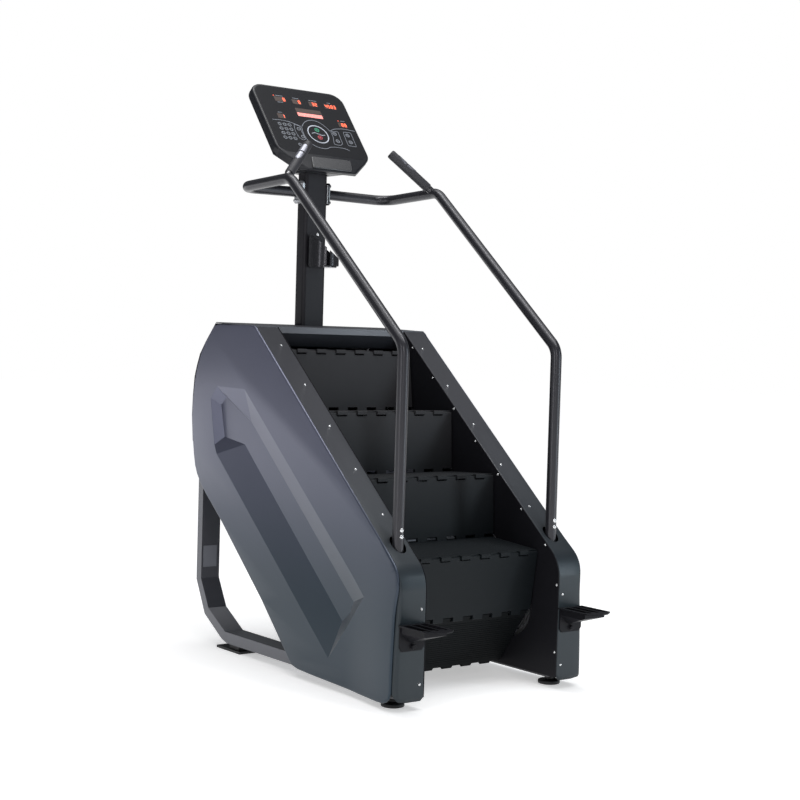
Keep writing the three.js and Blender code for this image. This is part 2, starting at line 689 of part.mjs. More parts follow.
const KEY_TRAVEL_GAP = 0.4;
const KEY_FOOT = -9;
const KEY_TOP = 1;
const START_KEY = [12, 216];
const STOP_KEY = [12, 177];
const MAIN_KEY_RADIUS = 11;
const FUNCTION_KEYS = [[90, 207], [90, 169], [151, 207], [151, 171]];
const FUNCTION_KEY_RADIUS = 9.5;
const PAD_KEY_RADIUS = 8.5;

function padKeys() {
  const keys = [[-73, 210], [-69, 170], [-98, 126]];
  for (const x of [-152, -130, -108]) {
    for (const y of [225, 202, 179, 156]) {
      keys.push([x, y]);
    }
  }
  return keys;
}

function addConsole() {
  const leaningFace = new THREE.Group();
  leaningFace.position.set(...CONSOLE_PLACE);
  leaningFace.rotation.x = FACE_TURN;
  climber.add(leaningFace);

  const keyHoles = [
    ...[START_KEY, STOP_KEY].map((place) => circle(place, MAIN_KEY_RADIUS + KEY_TRAVEL_GAP, 16)),
    ...FUNCTION_KEYS.map((place) => circle(place, FUNCTION_KEY_RADIUS + KEY_TRAVEL_GAP, 14)),
    ...padKeys().map((place) => circle(place, PAD_KEY_RADIUS + KEY_TRAVEL_GAP, 10)),
  ];
  const shell = alongZ(consoleOutline(0), -CONSOLE_DEPTH, 0, keyHoles);
  const hollow = alongZ(consoleOutline(CONSOLE_WALL), -CONSOLE_DEPTH - 1, -CONSOLE_WALL);
  const floorOfShell = box(-100, 100, -60, 28, -CONSOLE_DEPTH, -CONSOLE_WALL + 1);
  const frontShell = cut(join(cut(shell, hollow), floorOfShell), belowConsole());
  add("console_front_shell", frontShell, "plastic", leaningFace);

  const backPlate = alongZ(consoleOutline(1), -CONSOLE_DEPTH - 6, -CONSOLE_DEPTH - GAP);
  const humpSide = [[237, -CONSOLE_DEPTH - 1], [-70, -CONSOLE_DEPTH - 1], [-70, -280], [237, -36]];
  const hump = alongX(humpSide, -75, 75);
  const columnFront = COLUMN_Y - COLUMN_DEPTH / 2 - CONSOLE_PLACE[1];
  const columnTop = COLUMN_TOP - CONSOLE_PLACE[2];
  const columnRoom = box(-54, 54, columnFront - 5, columnFront + COLUMN_DEPTH + 5, -20, columnTop + 4);
  columnRoom.rotateX(-FACE_TURN);
  const rearShell = cut(join(backPlate, hump), belowConsole(), columnRoom);
  add("console_rear_shell", rearShell, "plastic", leaningFace);

  add("display_board", box(-150, 175, 252, 376, -12, -8), "green", leaningFace);

  const key = (place, radius, sides) => alongZ(circle(place, radius, sides), KEY_FOOT, KEY_TOP);
  add("start_key", key(START_KEY, MAIN_KEY_RADIUS, 16), "green", leaningFace);
  add("stop_key", key(STOP_KEY, MAIN_KEY_RADIUS, 16), "red", leaningFace);
  FUNCTION_KEYS.forEach((place, i) => {
    add(`function_key_${i + 1}`, key(place, FUNCTION_KEY_RADIUS, 14), "plastic", leaningFace);
  });
  const mat = alongZ(rectangle(-165, -56, 112, 240), KEY_FOOT, KEY_FOOT + 3);
  const pads = padKeys().map((place) => key(place, PAD_KEY_RADIUS, 10));
  add("keypad_mat", join(mat, ...pads), "rubber", leaningFace);
}

// ---- handrails, grips and clamp ----
const RAIL_BEND = new THREE.Vector3(RAIL_X, 775, 1716);

function addHandrails() {
  const corners = [
    new THREE.Vector3(RAIL_X, RAIL_FOOT_Y, RAIL_FOOT_Z),
    new THREE.Vector3(RAIL_X, RAIL_FOOT_Y, 1147),
    RAIL_BEND,
    new THREE.Vector3(RAIL_X + 2, 1097, 1702),
    new THREE.Vector3(COLUMN_WIDTH / 2 + 9, COLUMN_Y, 1708),
  ];
  addPair("handrail", tube(new BentPath(corners, RAIL_BEND_RADIUS), RAIL_RADIUS), "frame");

  const half = COLUMN_WIDTH / 2 + GAP;
  const front = COLUMN_Y - COLUMN_DEPTH / 2 + 2;
  const back = COLUMN_Y + COLUMN_DEPTH / 2 + GAP;
  const clamp = [
    [-half, front], [-half - CLAMP_PLATE, front], [-half - CLAMP_PLATE, back + CLAMP_PLATE],
    [half + CLAMP_PLATE, back + CLAMP_PLATE], [half + CLAMP_PLATE, front],
    [half, front], [half, back], [-half, back],
  ];
  add("rail_clamp", alongZ(clamp, ...CLAMP_Z), "steel");

  const foot = new THREE.Vector3(...GRIP_FOOT);
  const away = new THREE.Vector3(...GRIP_END).sub(foot);
  const length = away.length() - GRIP_START;
  const profile = [
    [0, 0], [13, 0], [13, 5], [16, 6], [17.2, 9], [17.2, length - 7], [14, length - 1], [0, length],
  ];
  const grip = lathe(profile, 16);
  grip.applyQuaternion(new THREE.Quaternion().setFromUnitVectors(AXIS_Y, away.clone().normalize()));
  grip.translate(...foot.addScaledVector(away.normalize(), GRIP_START));
  addPair("grip", grip, "rubber");
}

// ---- bottle holder, side steps and feet ----
function addBottleHolder() {
  const wall = 2.5;
  const radius = 52;
  const base = 1430;
  const top = 1549;
  const backY = COLUMN_Y - COLUMN_DEPTH / 2 - GAP;
  const centre = [0, backY - 60];
  const bend = (r) => arc(centre, r, Math.PI, 2 * Math.PI, 12);
  const outside = [[-radius, backY], ...bend(radius), [radius, backY]];
  const inside = [
    [-radius + wall, backY - wall], ...bend(radius - wall), [radius - wall, backY - wall],
  ];
  const cup = join(alongZ(outside, base, top, [inside]), alongZ(outside, base, base + wall));
  const aboveRim = [[backY - 20, top], [900, top - 60], [900, top + 60], [backY - 20, top + 60]];
  const slot = box(20, 44, 900, centre[1] - 10, base + 12, top + 10);
  add("bottle_holder", cut(cup, alongX(aboveRim, -90, 90), slot), "frame");
}

function addSideSteps() {
  const plate = [
    [283, -GAP], [393, -GAP], [393, -136], [362, -157], [330, SIDE_STEP_TIP_Y], [303, -157], [283, -138],
  ];
  const slots = [307, 340, 373].map((x) => roundedRectangle(24, 118, 8, [x, -70], 2));
  const bracket = [[294, 274], [384, 274], [384, 252], [350, 222], [326, 222], [294, 252]];
  const belowBracket = alongX([[0, 219], [-120, 257], [-120, 150], [0, 150]], 290, 390);
  const hollow = alongY([[299, 280], [379, 280], [379, 254], [348, 228], [328, 228], [299, 254]], -100, -10);
  const aboveBracket = alongX([[0, 225], [-120, 263], [-120, 300], [0, 300]], 290, 390);
  const backPlate = alongY(
    [[290, 275], [388, 275], [388, 205], [378, 193], [300, 193], [290, 205]], -4 - GAP, -GAP);
  addPair(
    "side_step",
    join(
      alongZ(plate, 273, 277, slots),
      backPlate,
      cut(alongY(bracket, -118, -2), belowBracket, common(hollow, aboveBracket)),
    ),
    "black",
  );
}

function addFeet() {
  const padAndStud = [[0, 0], [38, 0], [38, 7], [30, 11], [14, 14], [14, 22], [6, 22], [6, 56], [0, 56]];
  const leveller = lathe(padAndStud, 20);
  leveller.rotateX(Math.PI / 2);
  leveller.translate(...LEVELLER, 0);
  addPair("front_leveller", leveller, "rubber");

  const rearFoot = join(
    box(263, 342, 1011, 1173, 0, 9),
    box(277, 333, 1030, 1096, 8, BASE_RAIL_Z[0] - GAP),
  );
  addPair("rear_foot", rearFoot, "rubber");
}

addFrame();
addDrive();
addHingedSteps();
addReturnSteps();
addCovers();
addColumn();
addConsole();
addHandrails();
addBottleHolder();
addSideSteps();
addFeet();

export default climber;
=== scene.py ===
# The looks of the stair climber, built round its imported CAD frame.
# Plans are drawn in millimetres with y = 0 at the wings' front face.
# place() turns them into the frame's metres.
import json
import math

import bmesh
import bpy
from mathutils import Matrix, Vector
from mathutils.geometry import tessellate_polygon

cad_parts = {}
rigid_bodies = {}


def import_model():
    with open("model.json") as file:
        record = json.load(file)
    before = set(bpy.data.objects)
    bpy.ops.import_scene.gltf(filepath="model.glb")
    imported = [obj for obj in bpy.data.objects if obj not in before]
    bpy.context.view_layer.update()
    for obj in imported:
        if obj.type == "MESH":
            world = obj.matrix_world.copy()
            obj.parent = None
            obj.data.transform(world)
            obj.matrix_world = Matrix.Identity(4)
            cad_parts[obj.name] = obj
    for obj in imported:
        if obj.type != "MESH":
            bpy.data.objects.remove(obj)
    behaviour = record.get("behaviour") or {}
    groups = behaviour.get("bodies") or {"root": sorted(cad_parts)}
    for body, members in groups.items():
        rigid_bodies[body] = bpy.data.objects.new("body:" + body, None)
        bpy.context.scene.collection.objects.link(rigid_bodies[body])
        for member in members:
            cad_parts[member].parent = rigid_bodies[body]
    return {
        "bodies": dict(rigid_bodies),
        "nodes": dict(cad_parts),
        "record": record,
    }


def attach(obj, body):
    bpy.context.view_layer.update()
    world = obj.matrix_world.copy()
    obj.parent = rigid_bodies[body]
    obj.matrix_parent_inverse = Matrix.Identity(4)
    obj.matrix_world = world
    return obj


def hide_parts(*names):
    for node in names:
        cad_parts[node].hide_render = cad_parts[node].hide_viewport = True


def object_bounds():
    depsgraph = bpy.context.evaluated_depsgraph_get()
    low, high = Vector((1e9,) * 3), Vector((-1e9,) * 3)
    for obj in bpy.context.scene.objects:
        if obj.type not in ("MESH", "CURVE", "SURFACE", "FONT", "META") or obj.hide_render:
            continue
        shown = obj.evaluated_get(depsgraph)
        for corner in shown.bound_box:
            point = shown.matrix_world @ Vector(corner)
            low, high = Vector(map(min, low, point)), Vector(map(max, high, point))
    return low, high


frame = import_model()
cad_low, cad_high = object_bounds()

# ---- driving sizes, in millimetres ----
STEP_TIP_Y = -164  # front tip of the side steps
CENTRE_Y = STEP_TIP_Y - cad_low.y * 1000

WING_OUTER = 383
WING_INNER = 284
BAND_OUTER = 376.4  # the side covers' turned edge begins here
WING_BASE = 30
KNEE_Z = 431
KNEE_RADIUS = 120
DECK_FRONT = (898, 1195)
SLOPE = math.atan2(DECK_FRONT[1] - KNEE_Z, DECK_FRONT[0])
CORNER_RADIUS = 16
KNEE_BASE_Z = 376  # where the upright face meets the knee's round
SWELL = 23  # the covers stand out further by this much at their lower front corners
SWELL_TOP_Z = 520
SWELL_LENGTH = 300
RIM_RADIUS = 5
COVER_THICKNESS = 6.3

STEP_RISE = 210
STEP_RUN = 244
STEP_HALF_WIDTH = 276
PLATE_HALF = 5
HINGE_CELLS = 13
KNUCKLE_HOOK = 9
KNUCKLE_RECESS = {True: 7.6, False: 10.7}  # at a plate's hooked end and at its plain end
KNUCKLE_GAP = 0.5

RAIL_X = 328
RAIL_RADIUS = 19
RAIL_FOOT_Y = 98
RAIL_BEND_RADIUS = 70
RAIL_SLOT = (26, 29)  # half width and half length of the oval slot round a rail
RAIL_BOLT_Z = (540, 561)
CLAMP_Z = (1672, 1742)
LEVELLER = (336, 91)
SIDE_STEP_BOLT = (338, -4.4, 208)
COLUMN_Y = 1125
APRON_TOP_Z = 1180
BLANK_PLATE_Y = (1293.2, 1294.6)
COLUMN_FRONT = COLUMN_Y - 30
CONSOLE_PLACE = (0, 990, 1779)
CONSOLE_LEAN = math.radians(38.5)
CONSOLE_HALF_WIDTH = 211
CONSOLE_HEIGHT = 436
CONSOLE_CORNER = 56
CONSOLE_DEPTH = 30
CONSOLE_WALL = 3.5
CHIN = (104, 96)  # half width of the console's lower edge, and where its slanting ends stop
GRIP_FOOT = (329, 801, 1716)
GRIP_END = (183.5, 884, 1858)
PULSE_PLATES = ((-43, -3.5), (3.5, 43))  # along the grip, from the middle of its plates

SIDES = (("left", -1), ("right", 1))


def place(x, y, z):
    return Vector((x, y - CENTRE_Y, z)) / 1000


def console_place(x, v, depth):
    """A point of the console: v runs up its leaning face and depth out of it."""
    y = CONSOLE_PLACE[1] + v * math.sin(CONSOLE_LEAN) - depth * math.cos(CONSOLE_LEAN)
    z = CONSOLE_PLACE[2] + v * math.cos(CONSOLE_LEAN) + depth * math.sin(CONSOLE_LEAN)
    return place(x, y, z)


# ---- materials ----
def set_inputs(node, values):
    for name, value in values.items():
        node.inputs[name].default_value = value
    return node


def material(name, colour, metallic=0.0, roughness=0.5, coat=0.0, variation=0.06, scale=40, bump=0.02,
             painted_shade_colour=None, spread=(0.0, 1.0), emission=0.0, specular=0.5):
    """A surface with a fine grain and a soft drift of tone. Its low colour gives painted shade, blended in up
    its height over spread.
    """
    made = bpy.data.materials.new(name)
    made.use_nodes = True
    nodes, links = made.node_tree.nodes, made.node_tree.links
    shader = nodes["Principled BSDF"]
    set_inputs(shader, {"Metallic": metallic, "Coat Weight": coat, "Coat Roughness": 0.18,
                        "Specular IOR Level": specular})
    where = nodes.new("ShaderNodeTexCoord").outputs["Object"]

    drift = set_inputs(nodes.new("ShaderNodeTexNoise"), {"Scale": 3.0, "Detail": 3.0})
    links.new(where, drift.inputs["Vector"])
    tone = set_inputs(nodes.new("ShaderNodeMapRange"), {"To Min": 1 - variation, "To Max": 1 + variation})
    links.new(drift.outputs["Fac"], tone.inputs["Value"])

    # Painted shade: the colour blends from the darker low colour at the bottom to the colour above, up the
    # object's height.
    base = nodes.new("ShaderNodeMix")
    base.data_type = "RGBA"
    set_inputs(base, {"A": (*(painted_shade_colour or colour), 1), "B": (*colour, 1)})
    height = nodes.new("ShaderNodeSeparateXYZ")
    links.new(where, height.inputs["Vector"])
    rise = nodes.new("ShaderNodeMapRange")
    rise.interpolation_type = "SMOOTHSTEP"
    set_inputs(rise, {"From Min": spread[0], "From Max": spread[1]})
    links.new(height.outputs["Z"], rise.inputs["Value"])
    links.new(rise.outputs["Result"], base.inputs["Factor"])
    shade = nodes.new("ShaderNodeVectorMath")
    shade.operation = "SCALE"
    links.new(base.outputs["Result"], shade.inputs[0])
    links.new(tone.outputs["Result"], shade.inputs["Scale"])
    links.new(shade.outputs["Vector"], shader.inputs["Base Color"])

    grain = set_inputs(nodes.new("ShaderNodeTexNoise"), {"Scale": scale * 10, "Detail": 4.0})
    links.new(where, grain.inputs["Vector"])
    rough = set_inputs(nodes.new("ShaderNodeMapRange"),
                       {"To Min": max(roughness - 0.06, 0.02), "To Max": min(roughness + 0.06, 1.0)})
    links.new(grain.outputs["Fac"], rough.inputs["Value"])
    links.new(rough.outputs["Result"], shader.inputs["Roughness"])
    relief = set_inputs(nodes.new("ShaderNodeBump"), {"Strength": bump * 5, "Distance": 0.0004})
    links.new(grain.outputs["Fac"], relief.inputs["Height"])
    links.new(relief.outputs["Normal"], shader.inputs["Normal"])
    if emission:
        set_inputs(shader, {"Emission Color": (*colour, 1), "Emission Strength": emission})
    return made


def ink(name, colour, metallic=0.0, roughness=0.5, emission=0.0):
    return material(name, colour, metallic, roughness, scale=80, bump=0.0, emission=emission)


# Painted shade: the side covers darken towards their lower part and take a painted teal cast of light there.
COVER_PAINT = material("cover_paint", (0.125, 0.132, 0.185), 0.55, 0.36, coat=0.25, scale=90, bump=0.012,
                       painted_shade_colour=(0.012, 0.027, 0.043), spread=(0.2, 0.95))
# Painted shade: the bands darken towards their lower part.
BAND_PAINT = material("band_paint", (0.078, 0.080, 0.091), 0.35, 0.40, coat=0.15, scale=80,
                      painted_shade_colour=(0.011, 0.019, 0.025), spread=(0.3, 1.0))
INNER_PAINT = material("inner_paint", (0.0095, 0.0095, 0.012), 0.1, 0.48, scale=70, specular=0.15)
FRAME_PAINT = material("frame_paint", (0.024, 0.024, 0.029), 0.4, 0.24, coat=0.6, scale=60, bump=0.01)
RAIL_PAINT = material("rail_paint", (0.028, 0.028, 0.034), 0.4, 0.34, coat=0.25, scale=3, bump=0.0)
# Painted light: a lighter copy of the frame paint, standing in for light falling on the rear frames.
REAR_FRAME_PAINTED_LIGHT = material("rear_frame_painted_light", (0.100, 0.104, 0.120), 0.5, 0.34, coat=0.3, scale=20,
                            bump=0.004)
CLAMP_STEEL = material("clamp_steel", (0.50, 0.51, 0.53), 0.8, 0.34, scale=60)
HOLDER_PAINT = material("holder_paint", (0.030, 0.030, 0.035), 0.6, 0.26, coat=0.3, scale=60, bump=0.004)
CONSOLE_GLOSS = material("console_gloss", (0.012, 0.013, 0.017), 0.0, 0.22, coat=0.5, scale=100, bump=0.006)
COLUMN_PAINT = material("column_paint", (0.018, 0.0175, 0.021), 0.1, 0.42, scale=60, bump=0.01, specular=0.2)
# Painted shade: the steps darken below about 0.45 m up.
STEP_COATING = material("step_coating", (0.031, 0.031, 0.034), 0.15, 0.56, scale=60, bump=0.05,
                        painted_shade_colour=(0.0035, 0.006, 0.008), spread=(0.45, 1.05), specular=0.25)
# Painted shade: a near-black copy of the step coating for step 9, the return run in the stair's shadow.
STEP_PAINTED_SHADE = material("step_painted_shade", (0.003, 0.0042, 0.005), 0.0, 0.7, scale=60, bump=0.05,
                          specular=0.12)
CONSOLE_PLASTIC = material("console_plastic", (0.0125, 0.0135, 0.017), 0.0, 0.36, coat=0.1, scale=120,
                           bump=0.03, specular=0.3)
PANEL_FILM = material("panel_film", (0.0085, 0.0090, 0.0115), 0.0, 0.42, scale=120, bump=0.01, specular=0.15)
KEY_FILM = material("key_film", (0.020, 0.022, 0.026), scale=120)
PRINT_GREY = ink("print_grey", (0.24, 0.26, 0.30))
PRINT_SILVER = ink("print_silver", (0.50, 0.53, 0.60), 0.2, 0.4)
PRINT_GREEN = ink("print_green", (0.015, 0.33, 0.17))
PRINT_RED = ink("print_red", (0.55, 0.03, 0.05))
WINDOW = ink("window", (0.045, 0.024, 0.018), 0.0, 0.3)
DIGITS = ink("digits", (1.0, 0.12, 0.05), 0.0, 0.4, 1.9)
MESSAGE = ink("message", (1.0, 0.30, 0.27), 0.0, 0.4, 0.9)
GRIP_FOAM = material("grip_foam", (0.024, 0.024, 0.029), 0.0, 0.55, scale=200)
SENSOR = material("sensor_plate", (0.24, 0.245, 0.28), 0.7, 0.32, scale=90, bump=0.01)
FOOT_RUBBER = material("foot_rubber", (0.008, 0.0085, 0.010), 0.0, 0.55, scale=60, bump=0.06)
BARE_STEEL = material("bare_steel", (0.46, 0.47, 0.49), 0.9, 0.34, scale=90)
SCREW_STEEL = material("screw_steel", (0.78, 0.79, 0.80), 0.85, 0.22, scale=60, bump=0.01)
APRON_PAINT = material("apron_paint", (0.026, 0.029, 0.036), 0.3, 0.42, scale=80)
BOARD = material("board", (0.02, 0.10, 0.05), scale=60)
PLATE_GREY = material("plate_grey", (0.20, 0.21, 0.24), 0.3, 0.45, scale=60, bump=0.01)

SLOT_MATERIALS = {
    "side_panel": COVER_PAINT, "band": BAND_PAINT, "inner_plate": INNER_PAINT, "frame": FRAME_PAINT,
    "step": STEP_COATING, "console": CONSOLE_PLASTIC, "board": BOARD, "key": KEY_FILM, "start_key": KEY_FILM,
    "stop_key": KEY_FILM, "grip_rubber": GRIP_FOAM, "foot_rubber": FOOT_RUBBER, "bare_steel": BARE_STEEL,
}
SLOT_OF = {part["node"]: part["material_slot"] for part in frame["record"]["subparts"]}


# ---- mesh helpers ----
def mesh_data(name, mesh):
    data = bpy.data.meshes.new(name)
    mesh.to_mesh(data)
    mesh.free()
    return data


def add_object(name, data):
    made = bpy.data.objects.new(name, data)
    bpy.context.scene.collection.objects.link(made)
    return made


def finish_piece(name, mesh, surface, replaces=(), body="frame", bevel=0.0, segments=2, smooth=30,
                 thickness=0.0):
    """Turns a bmesh into a piece of the object. bevel and thickness are in millimetres."""
    if not thickness:
        bmesh.ops.recalc_face_normals(mesh, faces=mesh.faces)
    data = mesh_data(name, mesh)
    surfaces = surface if isinstance(surface, (list, tuple)) else [surface]
    for each in surfaces:
        data.materials.append(each)
    data.shade_smooth()
    data.set_sharp_from_angle(angle=math.radians(smooth))
    piece = add_object(name, data)
    if thickness:
        solid = piece.modifiers.new("sheet", "SOLIDIFY")
        solid.thickness = thickness / 1000
        solid.offset = -1
    if bevel:
        edge = piece.modifiers.new("edge", "BEVEL")
        edge.width = bevel / 1000
        edge.segments = segments
        edge.limit_method = "ANGLE"
        edge.angle_limit = math.radians(smooth)
        edge.harden_normals = True
    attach(piece, body)
    if replaces:
        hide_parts(*replaces)
    return piece


def triangles_of(loops):
    return tessellate_polygon([[Vector((*point, 0)) for point in loop] for loop in loops])


def extrude_into(mesh, outline, low, high, to_place, holes=(), number=0):
    """A solid whose section is the outline, from low to high. to_place maps (a, b, c) to a point."""
    loops = [list(outline), *[list(hole) for hole in holes]]
    flat = [point for loop in loops for point in loop]
    bottom = [mesh.verts.new(to_place(a, b, low)) for a, b in flat]
    top = [mesh.verts.new(to_place(a, b, high)) for a, b in flat]
    made = []
    if holes:
        for triangle in triangles_of(loops):
            made.append(mesh.faces.new([bottom[i] for i in triangle]))
            made.append(mesh.faces.new([top[i] for i in reversed(triangle)]))
    else:
        made.append(mesh.faces.new(bottom))
        made.append(mesh.faces.new(list(reversed(top))))
    first = 0
    for loop in loops:
        for i in range(len(loop)):
            a, b = first + i, first + (i + 1) % len(loop)
            made.append(mesh.faces.new([bottom[a], bottom[b], top[b], top[a]]))
        first += len(loop)
    for face in made:
        face.material_index = number


def join_loops(mesh, near, far):
    """A band of faces between two closed rows of vertices."""
    for i in range(len(near)):
        n = (i + 1) % len(near)
        mesh.faces.new([near[i], near[n], far[n], far[i]])


def join_rows(mesh, rows):
    for near, far in zip(rows, rows[1:]):
        join_loops(mesh, near, far)


def rectangle(low, high):
    return [(low[0], low[1]), (high[0], low[1]), (high[0], high[1]), (low[0], high[1])]


def arc(centre, radius, start, end, steps):
    return [
        (centre[0] + radius * math.cos(start + (end - start) * i / steps),
         centre[1] + radius * math.sin(start + (end - start) * i / steps))
        for i in range(steps + 1)
    ]


def circle(centre, radius, steps=32):
    return arc(centre, radius, 0, 2 * math.pi, steps)[:-1]


def rounded(points, radius, steps=5):
    """The outline with each corner rounded."""
    made = []
    for i, corner in enumerate(points):
        here = Vector(corner)
        back = Vector(points[i - 1]) - here
        on = Vector(points[(i + 1) % len(points)]) - here
        wanted = radius[i] if isinstance(radius, (list, tuple)) else radius
        r = min(wanted, back.length / 2.01, on.length / 2.01)
        start, end = here + back.normalized() * r, here + on.normalized() * r
        for k in range(steps + 1):
            t = k / steps
            made.append(tuple(start * (1 - t) ** 2 + here * 2 * t * (1 - t) + end * t * t))
    return made


def bent_path(corners, radius, steps):
    points = [Vector(corners[0])]
    for before, here, after in zip(corners, corners[1:], corners[2:]):
        here = Vector(here)
        back = (Vector(before) - here).normalized()
        on = (Vector(after) - here).normalized()
        reach = radius / math.tan(back.angle(on) / 2)
        start, end = here + back * reach, here + on * reach
        centre = here + (back + on).normalized() * radius / math.sin(back.angle(on) / 2)
        sweep = math.pi - back.angle(on)
        axis = (start - centre).cross(end - centre).normalized()
        for i in range(steps + 1):
            points.append(centre + Matrix.Rotation(sweep * i / steps, 3, axis) @ (start - centre))
    points.append(Vector(corners[-1]))
    return points


def ring_round(mesh, centre, side, other, radius, sides):
    turns = [2 * math.pi * k / sides for k in range(sides)]
    points = [centre + (side * math.cos(turn) + other * math.sin(turn)) * radius for turn in turns]
    return [mesh.verts.new(place(*point)) for point in points]


def sweep_into(mesh, points, radius, sides):
    """A round bar along the points, closed at its ends."""
    rings = []
    side = None
    for i, point in enumerate(points):
        along = (points[min(i + 1, len(points) - 1)] - points[max(i - 1, 0)]).normalized()
        if side is None:
            side = along.orthogonal().normalized()
        side = (side - along * side.dot(along)).normalized()
        other = along.cross(side)
        rings.append(ring_round(mesh, point, side, other, radius, sides))
    join_rows(mesh, rings)
    mesh.faces.new(rings[0])
    mesh.faces.new(list(reversed(rings[-1])))


def turned_into(mesh, profile, foot, axis, sides):
    """A turned solid: profile points are (radius, height along the axis from foot), in millimetres."""
    axis = Vector(axis).normalized()
    side = axis.orthogonal().normalized()
    other = axis.cross(side)
    foot = Vector(foot)
    rings = []
    for r, h in profile:
        if r == 0:
            rings.append([mesh.verts.new(place(*(foot + axis * h)))])
        else:
            rings.append(ring_round(mesh, foot + axis * h, side, other, r, sides))
    for low, high in zip(rings, rings[1:]):
        for k in range(sides):
            n = (k + 1) % sides
            corners = [low[0]] if len(low) == 1 else [low[k], low[n]]
            corners += [high[0]] if len(high) == 1 else [high[n], high[k]]
            if len(corners) > 2:
                mesh.faces.new(corners)


def dome_screw_into(mesh, where, axis, radius):
    """A domed screw head with a shallow socket."""
    socket = radius * 0.36
    profile = [
        (0, radius * 0.22), (socket, radius * 0.22), (socket, radius * 0.52), (radius * 0.62, radius * 0.47),
        (radius * 0.85, radius * 0.33), (radius, radius * 0.1), (radius, -0.3), (0, -0.3),
    ]
    turned_into(mesh, profile, where, axis, 20)


# ---- the wings' profile ----
def wing_front(inset=0, steps=14):
    drop = KNEE_RADIUS * math.tan((math.pi / 2 - SLOPE) / 2)
    centre = (KNEE_RADIUS, KNEE_Z - drop)
    bend = arc(centre, KNEE_RADIUS - inset, math.pi, math.pi / 2 + SLOPE, steps)
    top = (DECK_FRONT[0] + inset * math.sin(SLOPE), DECK_FRONT[1] - inset * math.cos(SLOPE))
    return [(inset, WING_BASE), *bend, top]


def corner_reach(z):
    """The radius of the wing's upright corner at a height: round low down and nearly square at the knee."""
    t = min(max((450 - z) / 150, 0), 1)
    return 1.5 + (CORNER_RADIUS - 1.5) * t * t * (3 - 2 * t)


def swell(y, z):
    """How much further out the wing's side stands at a place on it."""
    down = min(max((SWELL_TOP_Z - z) / (SWELL_TOP_Z - WING_BASE), 0), 1)
    forward = min(max(1 - y / SWELL_LENGTH, 0), 1)
    return SWELL * math.sin(down * math.pi / 2) * forward * forward * (3 - 2 * forward)


def side_outline():
    """A side cover's edge as (y, z) points, from its lower front corner round by the deck and the back."""
    front = []
    for z in (62, 130, 200, 260, 300, 330, 355, 376, 395, 412, 428, 441):
        face = KNEE_RADIUS - math.sqrt(KNEE_RADIUS ** 2 - max(z - KNEE_BASE_Z, 0) ** 2)
        front.append((face + corner_reach(z) + 0.3, z))
    knee = [point for point in wing_front(1.5)[1:-1] if point[1] > 448]
    back = [
        (1180, 1196), (1212, 1166), (1243, 1131), (1268, 1098), (1287, 1064), (1302, 1028), (1313, 992),
        (1321, 950), (1326, 905), (1328, 858), (1325, 810), (1318, 764), (1310, 716), (1298, 671),
        (1282, 640), (1262, 616), (1237, 592), (1208, 568), (1108, 491), (809, 234), (622, 53),
    ]
    deck = [(880, 1180), (889, 1190), (905, 1199), (1150, 1201)]
    under = [(606, 40), (573, 33), (494, 29), (206, 20), (93, 20), (60, 22), (38, 30), (24, 42)]
    return front + knee + deck + back + under


def inset_loop(points, distance):
    """The closed outline moved inwards by a distance."""
    made = []
    for i, point in enumerate(points):
        before, after = Vector(points[i - 1]), Vector(points[(i + 1) % len(points)])
        here = Vector(point)
        first, second = (here - before).normalized(), (after - here).normalized()
        along = (first + second).normalized()
        stretch = 1 / max(along.dot(first), 0.6)
        inwards = Vector((along.y, -along.x)) * distance * stretch
        made.append(tuple(here + inwards))
    return made


# The pressed-in relief of a side cover: its rim at the cover's face, and its floor.
RELIEF_RIM = {
    "pocket_top": (1145, 973), "pocket_back": (1190, 927), "pocket_low": (1156, 758),
    "groove_low": (1138, 725), "foot": (388, 104), "foot_front": (192, 337), "peak": (955, 970),
}
RELIEF_FLOOR = {
    "floor_back": (976, 771), "floor_foot": (341, 234), "floor_toe": (296, 269), "floor_front": (280, 306),
    "floor_top": (935, 855),
}
POCKET_FLOOR = {"deep_top": (1122, 935), "deep_back": (1158, 905), "deep_low": (1128, 788)}
FLOOR_DEPTH = 20
POCKET_DEPTH = 27
RELIEF_FACETS = [
    ("groove_low", "foot", "floor_foot", "floor_back"),
    ("foot", "foot_front", "floor_front", "floor_toe", "floor_foot"),
    ("foot_front", "peak", "floor_top", "floor_front"),
    ("peak", "pocket_top", "floor_top"),
    ("pocket_top", "pocket_back", "deep_back", "deep_top"),
    ("pocket_back", "pocket_low", "deep_low", "deep_back"),
    ("pocket_low", "groove_low", "floor_back", "deep_low"),
    ("pocket_top", "deep_top", "floor_top"),
    ("deep_top", "deep_back", "deep_low", "floor_back"),
    ("deep_top", "floor_back", "floor_top"),
    ("floor_back", "floor_foot", "floor_toe", "floor_front", "floor_top"),
]


